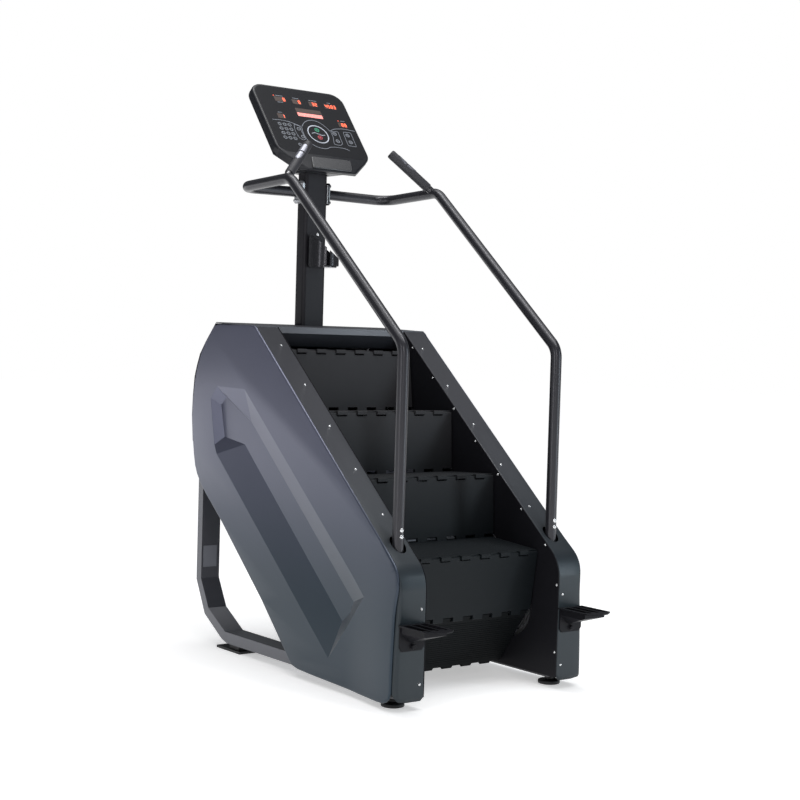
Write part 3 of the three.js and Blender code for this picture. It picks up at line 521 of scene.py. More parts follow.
def make_side_covers():
    depths = {name: 0 for name in RELIEF_RIM}
    depths.update({name: FLOOR_DEPTH for name in RELIEF_FLOOR})
    depths.update({name: POCKET_DEPTH for name in POCKET_FLOOR})
    plan = {**RELIEF_RIM, **RELIEF_FLOOR, **POCKET_FLOOR}
    outline = side_outline()
    face_edge = inset_loop(outline, RIM_RADIUS)
    triangles = triangles_of([face_edge, RELIEF_RIM.values()])
    for side, sign in SIDES:
        mesh = bmesh.new()

        pressed = mesh.faces.layers.int.new("pressed")
        weight = mesh.edges.layers.float.new("bevel_weight_edge")

        def skin(edge, back):
            named = {name: mesh.verts.new((-back - depths[name], *plan[name])) for name in plan}
            around = edge + [named[name] for name in RELIEF_RIM]
            for triangle in triangles:
                mesh.faces.new([around[i] for i in triangle])
            for facet in RELIEF_FACETS:
                mesh.faces.new([named[name] for name in facet])[pressed] = 1

        rings = []
        for k in range(5):
            turn = math.radians(90 - 22.5 * k)
            inset, depth = RIM_RADIUS * (1 - math.cos(turn)), RIM_RADIUS * (1 - math.sin(turn))
            rings.append([mesh.verts.new((-depth, *p)) for p in inset_loop(outline, inset)])
        rings.append([mesh.verts.new((-COVER_THICKNESS, *p)) for p in outline])
        rings.append([mesh.verts.new((-COVER_THICKNESS, *p)) for p in face_edge])
        join_rows(mesh, rings)
        skin(rings[0], 0)
        skin(rings[-1], COVER_THICKNESS)
        mesh.normal_update()
        folds = [
            edge for edge in mesh.edges
            if any(face[pressed] for face in edge.link_faces)
            and abs(edge.calc_face_angle(0)) > math.radians(3)
            and all(vert.co.x > -POCKET_DEPTH - 1 for vert in edge.verts)
        ]
        for edge in folds:
            edge[weight] = 1.0
        # cut the lower front into cells, so that it can swell smoothly
        cuts = [((0, y, 0), (0, 1, 0)) for y in range(30, SWELL_LENGTH + 1, 30)]
        cuts += [((0, 0, z), (0, 0, 1)) for z in range(80, SWELL_TOP_Z + 5, 37)]
        for spot, way in cuts:
            whole = mesh.verts[:] + mesh.edges[:] + mesh.faces[:]
            bmesh.ops.bisect_plane(mesh, geom=whole, plane_co=spot, plane_no=way)
        bmesh.ops.recalc_face_normals(mesh, faces=mesh.faces)
        for vert in mesh.verts:
            x, y, z = vert.co
            vert.co = place(sign * (WING_OUTER + x + swell(y, z)), y, z)
        piece = finish_piece(f"side_cover_{side}", mesh, COVER_PAINT, [f"side_panel_{side}"],
                             smooth=35)
        fold = piece.modifiers.new("fold", "BEVEL")
        fold.limit_method = "WEIGHT"
        fold.width = 0.006
        fold.segments = 3
        fold.harden_normals = True


def make_bands():
    upright = [(0, WING_BASE + (KNEE_BASE_Z - WING_BASE) * i / 24) for i in range(24)]
    stations = upright + wing_front(0, 22)[1:]
    for side, sign in SIDES:
        mesh = bmesh.new()
        rows = []
        for i, (y, z) in enumerate(stations):
            before, after = stations[max(i - 1, 0)], stations[min(i + 1, len(stations) - 1)]
            along = Vector((after[0] - before[0], after[1] - before[1])).normalized()
            inward = Vector((along.y, -along.x))
            reach = corner_reach(z)
            outer = BAND_OUTER + swell(y, z)
            bend = arc((outer - reach, reach), reach, -math.pi / 2, 0, 8)
            section = [(WING_INNER, 5), (WING_INNER + 0.6, 1.6), (WING_INNER + 2.5, 0), (290, 0), (297, 0),
                       (312, 0), (330, 0), (340, 0), (352, 0), *bend]
            low_down = max(1 - (z - WING_BASE) / 90, 0)
            row = []
            for x, depth in section:
                beyond = min(max(x - (outer - 32), 0) / 32, 1)
                within = max(1 - (x - WING_INNER) / 13, 0)
                lift = low_down * (30 * (1 - math.sqrt(1 - beyond ** 2)) + 12 * within)
                row.append(mesh.verts.new(place(sign * x, y + inward.x * depth, z + inward.y * depth + lift)))
            rows.append(row)
        for low, high in zip(rows, rows[1:]):
            for k in range(len(low) - 1):
                corners = [low[k], low[k + 1], high[k + 1], high[k]]
                mesh.faces.new(corners if sign > 0 else corners[::-1])
        piece = finish_piece(f"band_{side}", mesh, BAND_PAINT, [f"front_band_{side}"],
                             smooth=40, thickness=2.5)
        cut_rail_hole(piece, sign)


def cut_rail_hole(piece, sign):
    """The oval slot that the handrail goes down through."""
    mesh = bmesh.new()
    oval = [(sign * RAIL_X + RAIL_SLOT[0] * math.cos(a), RAIL_FOOT_Y + RAIL_SLOT[1] * math.sin(a))
            for a in [2 * math.pi * k / 40 for k in range(40)]]
    extrude_into(mesh, oval, 440, 640, place)
    bmesh.ops.recalc_face_normals(mesh, faces=mesh.faces)
    cutter = add_object("slot_cutter", mesh_data("slot_cutter", mesh))
    hole = piece.modifiers.new("rail_slot", "BOOLEAN")
    hole.object = cutter
    hole.solver = "EXACT"
    bpy.context.view_layer.update()
    ready = piece.evaluated_get(bpy.context.evaluated_depsgraph_get())
    made = bpy.data.meshes.new_from_object(ready)
    piece.modifiers.clear()
    piece.data = made
    bpy.data.objects.remove(cutter)


def make_wing_screws():
    normal = Vector((0, -math.sin(SLOPE), math.cos(SLOPE)))
    for side, sign in SIDES:
        mesh = bmesh.new()
        for k in range(5):
            y = 197 + 156.6 * k
            dome_screw_into(mesh, (sign * 317, y, KNEE_Z + y * math.tan(SLOPE)), normal, 4.6)
        for z in (83, 321):
            dome_screw_into(mesh, (sign * 302, 0, z), (0, -1, 0), 4.6)
        for k in range(7):
            y = 67 + 128 * k
            depth = 9
            z = KNEE_Z + y * math.tan(SLOPE) - depth * math.cos(SLOPE)
            spot = (sign * (WING_INNER - 2.3), y + depth * math.sin(SLOPE), z)
            dome_screw_into(mesh, spot, (-sign, 0, 0), 4.4)
        for z in (126, 353):
            dome_screw_into(mesh, (sign * (WING_INNER - 2.3), 10, z), (-sign, 0, 0), 4.4)
        finish_piece(f"wing_screws_{side}", mesh, SCREW_STEEL, smooth=50)


# ---- steps ----
def plate_into(mesh, length, to_place, ribbed):
    """A hinged plate along +a from its near pivot, h standing out of its walked-on or front face."""
    half = PLATE_HALF
    cell = 2 * STEP_HALF_WIDTH / HINGE_CELLS
    low, high = KNUCKLE_RECESS[ribbed], length - KNUCKLE_RECESS[not ribbed]
    body = [(low, -half), (high, -half), (high, half), (low, half)]
    if ribbed:
        pitch = 10.2
        count = int((length - 44) / pitch)
        start = (length - count * pitch) / 2
        ribs = []
        for i in range(count):
            a = start + i * pitch
            ribs += [(a, half - 1.3), (a + 1.1, half), (a + 7.0, half), (a + 8.1, half - 1.3)]
        body = [(low, -half), (high, -half), (high, half), (length - 20, half), *reversed(ribs), (20, half),
                (low, half)]
    extrude_into(mesh, body, -STEP_HALF_WIDTH, STEP_HALF_WIDTH, to_place)
    for pivot, out, first in ((0, -1, 1), (length, 1, 0)):
        # a tread's nose and a riser's foot turn over the neighbouring plate's edge
        hooked = (out < 0) == ribbed
        hook = KNUCKLE_HOOK if hooked else half
        root, tip = pivot - out * KNUCKLE_RECESS[hooked], pivot + out * half
        knuckle = [
            (root, half), (tip - out * 1.5, half), (tip, half - 1.5), (tip, 2 - hook), (tip - out * 2, -hook),
            (pivot - out * (half - 2), -hook), (pivot - out * (half - 1), -half), (root, -half),
        ]
        for i in range(first, HINGE_CELLS, 2):
            x0 = -STEP_HALF_WIDTH + i * cell + (KNUCKLE_GAP if i else 0)
            x1 = -STEP_HALF_WIDTH + (i + 1) * cell - (KNUCKLE_GAP if i < HINGE_CELLS - 1 else 0)
            extrude_into(mesh, knuckle, x0, x1, to_place)


def make_steps():
    for number in (1, 2, 3, 4, 5, 9):
        for kind, length in (("riser", STEP_RISE), ("tread", STEP_RUN)):
            name = f"{kind}_{number}"
            near, along, out = plate_frame(name, length)
            mesh = bmesh.new()

            def on_plate(a, h, x):
                return near + Vector((x / 1000, 0, 0)) + along * a / 1000 + out * h / 1000

            plate_into(mesh, length, on_plate, kind == "tread")
            body = name if name in frame["bodies"] else "stair_run"
            # step 9 gets the near-black copy of the step coating: painted shade.
            surface = STEP_PAINTED_SHADE if number == 9 else STEP_COATING
            finish_piece(f"{name}_detailed", mesh, surface, [name], body)


def plate_frame(name, length):
    """Where a CAD plate's near pivot is, and which way it runs and faces, from its mesh."""
    points = [v.co for v in frame["nodes"][name].data.vertices]
    reach = STEP_HALF_WIDTH / 1000
    edges = [p for p in points if abs(p.x) < reach + 0.001]
    # the near edge has a recess in its outer cells and the far edge has knuckles there
    outer = [p for p in edges if p.x > reach - 0.001]
    inner = [p for p in edges if p.x < reach - 0.06]
    middle = sum(outer, Vector()) / len(outer)
    centre = sum(inner, Vector()) / len(inner)
    spread = max(outer, key=lambda p: (p - middle).yz.length)
    along = Vector((0, (spread - middle).y, (spread - middle).z)).normalized()
    spans = [(p - centre).dot(along) for p in edges]
    near_cells = [(p - centre).dot(along) for p in outer]
    # the outer cells reach the far knuckle's tip, so they stand nearer to the far end
    if abs(max(near_cells) - max(spans)) > abs(min(near_cells) - min(spans)):
        along = -along
        spans = [-s for s in spans]
    far = max(spans)
    near = Vector((0, centre.y, centre.z)) + along * (far - (length + PLATE_HALF) / 1000)
    out = Vector((1, 0, 0)).cross(along)
    mid = [(p - near).dot(out) for p in edges]
    near = near + out * (max(mid) + min(mid)) / 2
    return near, along, out


# ---- handrails, grips and clamp ----
def rail_corners(sign):
    return [
        (sign * RAIL_X, RAIL_FOOT_Y, 300), (sign * RAIL_X, RAIL_FOOT_Y, 1147), (sign * RAIL_X, 775, 1716),
        (sign * (RAIL_X + 2), 1097, 1702), (sign * 59, COLUMN_Y, 1708),
    ]


def make_handrails():
    for side, sign in SIDES:
        mesh = bmesh.new()
        sweep_into(mesh, bent_path(rail_corners(sign), RAIL_BEND_RADIUS, 14), RAIL_RADIUS, 40)
        finish_piece(f"rail_{side}", mesh, RAIL_PAINT, [f"handrail_{side}"], smooth=40)

        mesh = bmesh.new()
        for z in RAIL_BOLT_Z:
            dome_screw_into(mesh, (sign * RAIL_X, RAIL_FOOT_Y - RAIL_RADIUS + 0.6, z), (0, -1, 0), 7.4)
        finish_piece(f"rail_bolts_{side}", mesh, SCREW_STEEL, smooth=50)


def make_grips():
    for side, sign in SIDES:
        foot = Vector((sign * GRIP_FOOT[0], *GRIP_FOOT[1:]))
        end = Vector((sign * GRIP_END[0], *GRIP_END[1:]))
        axis = (end - foot).normalized()
        length = (end - foot).length
        foam = [
            (0, 27), (14.5, 27), (16.4, 28), (17.2, 31), (17.2, length - 9), (16.6, length - 4),
            (14.8, length - 1.2), (12, length), (0, length),
        ]
        mesh = bmesh.new()
        turned_into(mesh, foam, foot, axis, 40)
        finish_piece(f"foam_grip_{side}", mesh, GRIP_FOAM, [f"grip_{side}"], smooth=40)

        mesh = bmesh.new()
        turned_into(mesh, [(0, 12), (14.2, 12), (14.2, 26), (0, 26)], foot, axis, 32)
        finish_piece(f"grip_neck_{side}", mesh, FRAME_PAINT, smooth=40)

        # two pulse plates on the outer upper side, with a gap between them
        outwards = Vector((sign * 0.41, -0.54, 0.735))
        outwards = (outwards - axis * outwards.dot(axis)).normalized()
        around = axis.cross(outwards)
        mesh = bmesh.new()
        centre = 22 + (length - 22) * 0.63
        for first, last in PULSE_PLATES:
            rows = []
            for k in range(9):
                along = first + (last - first) * k / 8
                half = 0.9 * math.sqrt(max(1 - (along / 43.8) ** 2, 0)) ** 0.8
                row = []
                for j in range(9):
                    turn = half * (j / 4 - 1)
                    way = outwards * math.cos(turn) + around * math.sin(turn)
                    row.append([foot + axis * (centre + along) + way * r for r in (16.6, 18.3)])
                rows.append(row)
            skin = [[[mesh.verts.new(place(*p)) for p in pair] for pair in row] for row in rows]
            for low, high in zip(skin, skin[1:]):
                for j in range(8):
                    for k in (0, 1):
                        mesh.faces.new([low[j][k], low[j + 1][k], high[j + 1][k], high[j][k]])
            border = [row[0] for row in skin] + skin[-1][1:]
            border += [row[-1] for row in skin[-2::-1]] + skin[0][-2:0:-1]
            for near, far in zip(border, border[1:] + border[:1]):
                mesh.faces.new([near[0], far[0], far[1], near[1]])
        finish_piece(f"pulse_plates_{side}", mesh, SENSOR, smooth=40)


def hex_bolt_into(mesh, where, axis, radius, height):
    axis = Vector(axis).normalized()
    head = [(0, height), (radius * 0.82, height), (radius, height * 0.8), (radius, 0), (0, 0)]
    turned_into(mesh, head, where, axis, 6)
    washer = [(0, 1.2), (radius * 1.35, 1.2), (radius * 1.45, 0.4), (radius * 1.45, -0.6), (0, -0.6)]
    turned_into(mesh, washer, where, axis, 24)


def make_rail_clamp():
    half, front, back = 50.6, COLUMN_FRONT + 4, COLUMN_Y + 30.6
    plate = 5.2
    clamp = rounded([
        (-half, front), (-half - plate, front), (-half - plate, back + plate), (half + plate, back + plate),
        (half + plate, front), (half, front), (half, back), (-half, back),
    ], 2.0, 3)
    mesh = bmesh.new()
    extrude_into(mesh, clamp, *CLAMP_Z, place)
    finish_piece("clamp_plate", mesh, CLAMP_STEEL, ["rail_clamp"], bevel=0.8)
    for side, sign in SIDES:
        mesh = bmesh.new()
        flange = rounded(rectangle((1096, 1666), (1154, 1750)), 10, 5)
        x = half + plate + 0.3

        def sideways(a, b, c):
            return place(sign * (x + c), a, b)

        extrude_into(mesh, flange, 0, 6, sideways)
        for y in (1108, 1142):
            for z in (1677, 1739):
                hex_bolt_into(mesh, (sign * (x + 6), y, z), (sign, 0, 0), 6.5, 9)
        paint = CLAMP_STEEL if sign < 0 else FRAME_PAINT
        finish_piece(f"rail_flange_{side}", mesh, paint, bevel=0.8)


# ---- bottle holder ----
def make_bottle_holder():
    radius, wall, base = 57, 2.5, 1432
    centre_y = COLUMN_FRONT - radius - 1
    rim_z, falls_right, rises_back = 1506.75, 0.7, 0.45

    def rim(x, y):
        return rim_z - falls_right * x + rises_back * (y - centre_y)

    mesh = bmesh.new()
    # two bent sheets, from the column round to the open slot in front, in degrees
    for start, end in ((90, 247), (260, 450)):
        rows = []
        for k in range(41):
            a = math.radians(start + (end - start) * k / 40)
            row = []
            for r in (radius, radius - wall):
                x, y = r * math.cos(a), centre_y + r * math.sin(a)
                ends = [(x, y, base), (x, y, rim(x, y))]
                row += ends if r == radius else ends[::-1]
            rows.append([mesh.verts.new(place(*p)) for p in row])
        join_rows(mesh, rows)
        mesh.faces.new(rows[0])
        mesh.faces.new(list(reversed(rows[-1])))
    floor = [(x - 4, y) for x, y in circle((0, centre_y), radius - 5, 48)]
    extrude_into(mesh, floor, base - 6, base + 0.5, place)
    finish_piece("bottle_cup", mesh, HOLDER_PAINT, ["bottle_holder"], smooth=35)
    mesh = bmesh.new()
    dome_screw_into(mesh, (9, COLUMN_FRONT - 0.2, 1552), (0, -1, 0), 6.5)
    finish_piece("bottle_holder_screw", mesh, SCREW_STEEL, smooth=50)


# ---- console ----
def row_at(mesh, outline, depth):
    return [mesh.verts.new(console_place(x, v, depth)) for x, v in outline]


def console_outline(inset, depth):
    """The console's outline at a depth below its face, with its underside level with the floor."""
    half = CONSOLE_HALF_WIDTH - inset
    corner = CONSOLE_CORNER - inset
    rise = -depth * math.tan(CONSOLE_LEAN)
    chin = CHIN[0] - inset / 2 + rise * (CONSOLE_HALF_WIDTH - CHIN[0]) / CHIN[1]
    lower = [(0, inset + rise), (chin, inset + rise), (half, CHIN[1]), (half, 250)]
    right = rounded(lower, [0, 12, 24, 0], 5)[6:18]
    right += arc((half - corner, CONSOLE_HEIGHT - inset - corner), corner, 0, math.pi / 2, 10)
    return right + [(-x, v) for x, v in reversed(right)]


START_KEY, STOP_KEY, MAIN_KEY_RADIUS = (12, 216), (12, 177), 11
FUNCTION_KEYS = ((90, 207), (90, 169), (151, 207), (151, 171))
FUNCTION_KEY_RADIUS = 9.5
PAD_KEYS = [(x, v) for x in (-152, -130, -108) for v in (225, 202, 179, 156)]
SIDE_KEYS = [(-73, 210), (-69, 170), (-98, 126)]
PAD_KEY_RADIUS = 8.5
KEY_PRINT = (0.95, 1.25)  # the lower and upper level of the keys' print, out of the face


def key_holes(room):
    holes = [circle(spot, MAIN_KEY_RADIUS + room, 28) for spot in (START_KEY, STOP_KEY)]
    holes += [circle(spot, FUNCTION_KEY_RADIUS + room, 24) for spot in FUNCTION_KEYS]
    return holes + [circle(spot, PAD_KEY_RADIUS + room, 20) for spot in PAD_KEYS + SIDE_KEYS]


def make_console_shell():
    mesh = bmesh.new()
    soft = 9
    rings = [row_at(mesh, console_outline(0, -CONSOLE_DEPTH), -CONSOLE_DEPTH)]
    for k in range(6):
        turn = math.radians(18 * k)
        inset, depth = soft * (1 - math.cos(turn)), soft * (math.sin(turn) - 1)
        rings.append(row_at(mesh, console_outline(inset, depth), depth))
    join_rows(mesh, rings)
    # the face and, a wall's thickness behind it, its inner side, with a hole for each key
    holes = key_holes(0.4)
    face_edge = console_outline(soft, 0)
    inner_edge = console_outline(soft, -CONSOLE_WALL)
    levels = []
    for edge, depth, outer in ((face_edge, 0, rings[-1]), (inner_edge, -CONSOLE_WALL, None)):
        around = outer or row_at(mesh, edge, depth)
        bored = [row_at(mesh, hole, depth) for hole in holes]
        points = around + [vert for hole in bored for vert in hole]
        for triangle in triangles_of([edge, *holes]):
            mesh.faces.new([points[i] for i in triangle])
        levels.append((around, bored))
    for outer, inner in zip(levels[0][1], levels[1][1]):
        join_loops(mesh, outer, inner)
    deep = row_at(mesh, console_outline(3, 0.5 - CONSOLE_DEPTH), 0.5 - CONSOLE_DEPTH)
    join_rows(mesh, [levels[1][0], deep, rings[0]])
    finish_piece("console_casing", mesh, CONSOLE_PLASTIC, ["console_front_shell"], smooth=32)

    mesh = bmesh.new()
    ledge = rounded([(-88, 10), (92, 10), (106, 68), (-72, 68)], 8, 5)
    extrude_into(mesh, ledge, -1, 5, console_place)
    finish_piece("console_ledge", mesh, CONSOLE_GLOSS, bevel=2.5, segments=4)


def make_console_film():
    mesh = bmesh.new()
    edge = [(x, v) for x, v in console_outline(11, 0) if v > 100]
    outline = [(-170, 84), (170, 84), *edge]
    extrude_into(mesh, outline, 0.05, 0.45, console_place, key_holes(0.5))
    finish_piece("console_film", mesh, PANEL_FILM)


def stroke_into(mesh, points, width, low=0.4, high=0.75, number=0):
    """A raised line of the face's print along (x, v) points."""
    left, right = [], []
    for i, point in enumerate(points):
        before, after = Vector(points[max(i - 1, 0)]), Vector(points[min(i + 1, len(points) - 1)])
        along = (after - before).normalized()
        across = Vector((-along.y, along.x)) * width / 2
        left.append(tuple(Vector(point) + across))
        right.append(tuple(Vector(point) - across))
    extrude_into(mesh, left + right[::-1], low, high, console_place, number=number)


def ring_into(mesh, centre, radius, width, low=0.4, high=0.75, number=0, steps=32):
    extrude_into(mesh, circle(centre, radius + width / 2, steps), low, high, console_place,
                 [circle(centre, radius - width / 2, steps)], number)


def curve(points):
    """A smooth line through the points."""
    made = []
    steps = 8
    ends = [points[0], *points, points[-1]]
    for a, b, c, d in zip(ends, ends[1:], ends[2:], ends[3:]):
        a, b, c, d = (Vector(p) for p in (a, b, c, d))
        for i in range(steps):
            t = i / steps
            made.append(tuple(0.5 * (2 * b + (c - a) * t + (2 * a - 5 * b + 4 * c - d) * t * t
                                     + (3 * b - a - 3 * c + d) * t ** 3)))
    return made + [tuple(points[-1])]


# The lines printed on the face as (x, v) points: beside, over and under the ring.
FACE_LINES = [
    [(-176, 245), (-130, 246), (-91, 239), (-55, 223)],
    [(-51, 226), (-30, 251), (2, 266), (35, 262), (59, 242), (74, 218)],
    [(75, 221), (103, 234), (145, 240), (197, 236)],
    [(-54, 222), (-59, 195), (-56, 165), (-46, 143), (-33, 131), (-11, 122), (18, 121), (44, 132), (77, 135),
     (112, 132), (126, 124)],
]
KEY_FRAMES = [
    [(77, 219), (112, 222), (108, 158), (94, 147), (66, 150), (76, 188)],
    [(136, 223), (172, 225), (170, 150), (132, 152)],
    [(-86, 232), (-62, 226), (-64, 195), (-60, 160), (-72, 152), (-88, 163), (-93, 195)],
]
RING = (10, 194)
RING_RADIUS = 44
DIVIDER = [(-18, 196), (-3, 200), (11, 196), (25, 191), (42, 194)]
CAPTIONS = [
    (-98, 379, 34), (-104, 344, 24), (-24, 377, 28), (54, 376, 36), (129, 376, 16), (-128, 288, 18),
    (158, 283, 20),
]


def make_console_print():
    mesh = bmesh.new()
    ring_into(mesh, RING, RING_RADIUS, 4.4, steps=56, number=1)
    for line in FACE_LINES:
        stroke_into(mesh, curve(line), 2.1)
    for corners in KEY_FRAMES:
        frame_line = rounded(corners, 6, 4)
        stroke_into(mesh, frame_line + frame_line[:1], 1.8)
    stroke_into(mesh, curve(DIVIDER), 2.4, number=1)
    for x, v, width in CAPTIONS:
        stroke_into(mesh, [(x - width / 2, v), (x + width / 2, v)], 2.2)
    finish_piece("console_print", mesh, [PRINT_GREY, PRINT_SILVER])


SEGMENTS = {"0": "abcdef", "1": "bc", "2": "abged", "3": "abgcd", "4": "fgbc", "5": "afgcd", "8": "abcdefg"}


def digit_into(mesh, digit, x, v):
    half_w, half_h, bold = 3.3, 7.5, 2.25
    bars = {
        "a": ((-half_w, half_h), (half_w, half_h)), "g": ((-half_w, 0), (half_w, 0)),
        "d": ((-half_w, -half_h), (half_w, -half_h)), "f": ((-half_w, 0), (-half_w, half_h)),
        "b": ((half_w, 0), (half_w, half_h)), "e": ((-half_w, -half_h), (-half_w, 0)),
        "c": ((half_w, -half_h), (half_w, 0)),
    }
    for name in SEGMENTS[digit]:
        (x0, v0), (x1, v1) = bars[name]
        stroke_into(mesh, [(x + x0, v + v0), (x + x1, v + v1)], bold, 0.7, 0.95, 1)


def make_display():
    mesh = bmesh.new()
    windows = [
        (-99, 361, 50, "8"), (-25, 358, 40, "0"), (51, 357, 40, "32"), (130, 356, 56, "4503"),
        (-127, 269, 34, "1"), (151, 262, 40, "88"),
    ]
    for x, v, width, text in windows:
        outline = rounded(rectangle((x - width / 2, v - 12), (x + width / 2, v + 12)), 2.5, 3)
        extrude_into(mesh, outline, 0.3, 0.7, console_place)
        for i, digit in enumerate(reversed(text)):
            digit_into(mesh, digit, x + width / 2 - 8 - 13.2 * i, v)
    outline = rounded(rectangle((-47, 280), (70, 324)), 3, 3)
    extrude_into(mesh, outline, 0.3, 0.7, console_place)
    # rows of lit dots run together into bars in the message window's lower half
    for row in range(5):
        for column in range(28):
            x, v = -45 + column * 4.05, 282 + row * 3.6
            dot = rectangle((x, v), (x + 3.5, v + 3.0))
            extrude_into(mesh, dot, 0.7, 0.9, console_place, number=2)
    for x, v in ((-123, 378), (137, 282)):
        extrude_into(mesh, circle((x, v), 1.8, 12), 0.4, 0.8, console_place, number=1)
    finish_piece("display_windows", mesh, [WINDOW, DIGITS, MESSAGE])


def key_into(mesh, spot, radius, steps=28):
    """A key top with a low dome's edge and a printed ring."""
    outline = circle(spot, radius, steps)
    inner = circle(spot, radius - 1.2, steps)
    low = row_at(mesh, outline, -8)
    edge = row_at(mesh, outline, 0.3)
    top = row_at(mesh, inner, 1)
    join_rows(mesh, [low, edge, top])
    mesh.faces.new(low)
    mesh.faces.new(list(reversed(top)))
    ring_into(mesh, spot, radius * 0.8, radius * 0.24, *KEY_PRINT, 1, steps)


def make_keys():
    mesh = bmesh.new()
    key_into(mesh, START_KEY, MAIN_KEY_RADIUS)
    triangle = [(START_KEY[0] + 4.6 * math.cos(a), START_KEY[1] + 4.6 * math.sin(a))
                for a in (0, 2 * math.pi / 3, 4 * math.pi / 3)]
    extrude_into(mesh, triangle, *KEY_PRINT, console_place, number=1)
    finish_piece("start_key_top", mesh, [KEY_FILM, PRINT_GREEN], ["start_key"], "start_key")
    mesh = bmesh.new()
    key_into(mesh, STOP_KEY, MAIN_KEY_RADIUS)
    x, v = STOP_KEY
    square = rectangle((x - 3.4, v - 3.4), (x + 3.4, v + 3.4))
    extrude_into(mesh, square, *KEY_PRINT, console_place, number=1)
    finish_piece("stop_key_top", mesh, [KEY_FILM, PRINT_RED], ["stop_key"], "stop_key")
    for i, spot in enumerate(FUNCTION_KEYS):
        mesh = bmesh.new()
        key_into(mesh, spot, FUNCTION_KEY_RADIUS)
        x, v = spot
        for across in (-1, 1):
            foot = v + across * 1.6
            chevron = [(x - 3.6, foot), (x, foot + (-2.6 if i % 2 else 2.6)), (x + 3.6, foot)]
            stroke_into(mesh, chevron, 1.2, *KEY_PRINT, 1)
        name = f"function_key_{i + 1}"
        finish_piece(f"{name}_top", mesh, [KEY_FILM, PRINT_GREY], [name], name)
    mesh = bmesh.new()
    for spot in PAD_KEYS + SIDE_KEYS:
        key_into(mesh, spot, PAD_KEY_RADIUS, 24)
    backing = rounded(rectangle((-165, 112), (-56, 240)), 6, 4)
    extrude_into(mesh, backing, -9, -6.2, console_place)
    finish_piece("keypad", mesh, [KEY_FILM, PRINT_GREY], ["keypad_mat"])


# ---- feet and small fittings ----
def make_feet():
    for side, sign in SIDES:
        mesh = bmesh.new()
        profile = [
            (0, 0), (34, 0), (36.5, 0.8), (38, 3), (38, 9), (36.5, 12), (33, 13.6), (15, 15.5), (14.2, 16.5),
            (14.2, 23), (7, 23), (7, 27), (6, 28), (6, 54), (0, 54),
        ]
        turned_into(mesh, profile, (sign * LEVELLER[0], LEVELLER[1], 0), (0, 0, 1), 48)
        node = f"front_leveller_{side}"
        finish_piece(f"levelling_foot_{side}", mesh, FOOT_RUBBER, [node], node, smooth=35)
        mesh = bmesh.new()
        hex_bolt_into(mesh, (sign * SIDE_STEP_BOLT[0], *SIDE_STEP_BOLT[1:]), (0, -1, 0), 8.5, 11)
        finish_piece(f"side_step_bolt_{side}", mesh, INNER_PAINT, bevel=0.6)


def make_blank_plate():
    mesh = bmesh.new()
    outline = rounded(rectangle((-338, 283), (-280, 364)), 3, 3)
    extrude_into(mesh, outline, *BLANK_PLATE_Y, lambda a, b, c: place(a, c, b))
    finish_piece("blank_plate", mesh, PLATE_GREY)


def soften(node, bevel, segments=3, surface=None):
    """A copy of a CAD piece of the frame with its facets joined and its edges rounded, standing for it."""
    mesh = bmesh.new()
    mesh.from_mesh(frame["nodes"][node].data)
    bmesh.ops.dissolve_limit(mesh, angle_limit=math.radians(0.5), verts=mesh.verts, edges=mesh.edges)
    slot = SLOT_OF[node]
    surface = surface or SLOT_MATERIALS[slot]
    finish_piece(f"{node}_soft", mesh, surface, [node], bevel=bevel, segments=segments, smooth=28)


def soften_pieces():
    for side, _ in SIDES:
        # the rear frames take the lighter copy of the frame paint: painted light.
        soften(f"rear_frame_{side}", 5, surface=REAR_FRAME_PAINTED_LIGHT)
        soften(f"rear_foot_{side}", 1.5)
        soften(f"side_step_{side}", 0.9, 2)
        soften(f"inner_plate_{side}", 0.7, 2)
    soften("console_rear_shell", 3)
    soften("column", 0.6, 2, surface=COLUMN_PAINT)
    soften("lower_cross_member", 3)


# ---- finish ----
def paint_cad_nodes():
    for name, node in frame["nodes"].items():
        node.data.materials.clear()
        node.data.materials.append(SLOT_MATERIALS[SLOT_OF[name]])
        node.data.shade_smooth()
        node.data.set_sharp_from_angle(angle=math.radians(32))
    cover = frame["nodes"]["top_cover"].data
    cover.materials.append(APRON_PAINT)
    for face in cover.polygons:
        if face.center.z < APRON_TOP_Z / 1000:
            face.material_index = 1


FLOOR_GLOW = 0.50
WORLD_GLOW = 0.12
SKY = (0.90, 0.94, 1.0)
SUN_POWER = 1.7
LIGHTS = [
    ("left_strip", (-4.4, -1.6, 1.7), (0, -0.1, 1.0), 0.5, 3.0, 26, (0.98, 0.97, 1.0)),
    ("rear_left", (-2.6, 5.4, 0.5), (0, 0.2, 0.5), 3.2, 1.0, 6, (0.98, 0.98, 1.0)),
    ("front_right", (2.9, -3.6, 1.5), (0, -0.2, 0.7), 0.5, 2.6, 38, (0.80, 0.92, 1.0)),
    ("front_left", (-2.2, -4.4, 2.6), (0, 0, 1.2), 0.4, 2.4, 30, (1.0, 0.97, 0.98)),
    ("overhead_strip", (0.2, -0.6, 4.0), (0, 0, 0.6), 0.4, 4.0, 45, (1.0, 1.0, 1.0)),
]


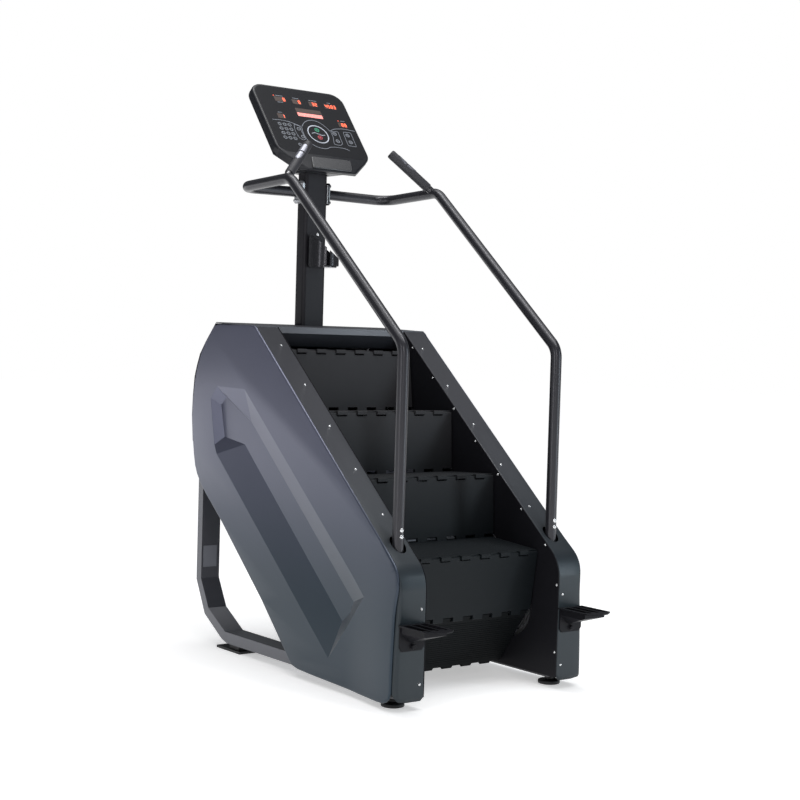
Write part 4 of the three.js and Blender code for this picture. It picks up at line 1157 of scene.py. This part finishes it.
def make_stage():
    mesh = bmesh.new()
    half = 30000
    corners = rectangle((-half, -half), (half, half))
    mesh.faces.new([mesh.verts.new(place(x, CENTRE_Y + y, 0)) for x, y in corners])
    floor = add_object("floor", mesh_data("floor", mesh))
    paint = material("pale_floor", (0.9, 0.9, 0.9), 0.0, 0.9, bump=0.0, emission=FLOOR_GLOW)
    floor.data.materials.append(paint)

    world = bpy.data.worlds.new("studio")
    bpy.context.scene.world = world
    world.use_nodes = True
    nodes, links = world.node_tree.nodes, world.node_tree.links
    seen = set_inputs(nodes["Background"], {"Color": (1, 1, 1, 1), "Strength": 1.0})
    glow = set_inputs(nodes.new("ShaderNodeBackground"), {"Color": (*SKY, 1), "Strength": WORLD_GLOW})
    path = nodes.new("ShaderNodeLightPath")
    pick = nodes.new("ShaderNodeMixShader")
    links.new(path.outputs["Is Camera Ray"], pick.inputs["Fac"])
    links.new(glow.outputs["Background"], pick.inputs[1])
    links.new(seen.outputs["Background"], pick.inputs[2])
    links.new(pick.outputs["Shader"], nodes["World Output"].inputs["Surface"])

    for light in LIGHTS:
        add_light(*light)
    sun = bpy.data.lights.new("overhead", "SUN")
    sun.energy = SUN_POWER
    sun.angle = math.radians(70)
    add_object("overhead", sun).location = (0, 0, 5)


def add_light(name, where, target, width, height, power, colour):
    data = bpy.data.lights.new(name, "AREA")
    data.shape = "RECTANGLE"
    data.size = width
    data.size_y = height
    data.energy = power
    data.color = colour
    light = add_object(name, data)
    light.location = where
    light.rotation_mode = "QUATERNION"
    light.rotation_quaternion = (Vector(target) - Vector(where)).to_track_quat("-Z", "Y")


CAMERA_PLACE = (-3303.5, -3794.7, 1157.1)
CAMERA_TURN = (0.6513, -0.0377, 0.029)  # yaw, pitch and roll, in radians
CAMERA_LENS = 69.87


def make_camera():
    data = bpy.data.cameras.new("camera")
    data.sensor_width = 36
    data.lens = CAMERA_LENS
    camera = add_object("camera", data)
    yaw, pitch, roll = CAMERA_TURN
    ahead = Vector((math.sin(yaw) * math.cos(pitch), math.cos(yaw) * math.cos(pitch), math.sin(pitch)))
    level = Vector((math.cos(yaw), -math.sin(yaw), 0))
    up = level.cross(ahead)
    right = level * math.cos(roll) + up * math.sin(roll)
    above = up * math.cos(roll) - level * math.sin(roll)
    turn = Matrix((right, above, -ahead)).transposed().to_4x4()
    camera.matrix_world = Matrix.Translation(place(*CAMERA_PLACE)) @ turn
    bpy.context.scene.camera = camera
    bpy.context.scene.view_settings.view_transform = "Standard"


make_camera()
make_stage()
paint_cad_nodes()
make_side_covers()
make_bands()
make_wing_screws()
make_steps()
make_handrails()
make_grips()
make_rail_clamp()
make_bottle_holder()
make_console_shell()
make_console_film()
make_console_print()
make_display()
make_keys()
make_feet()
make_blank_plate()
soften_pieces()
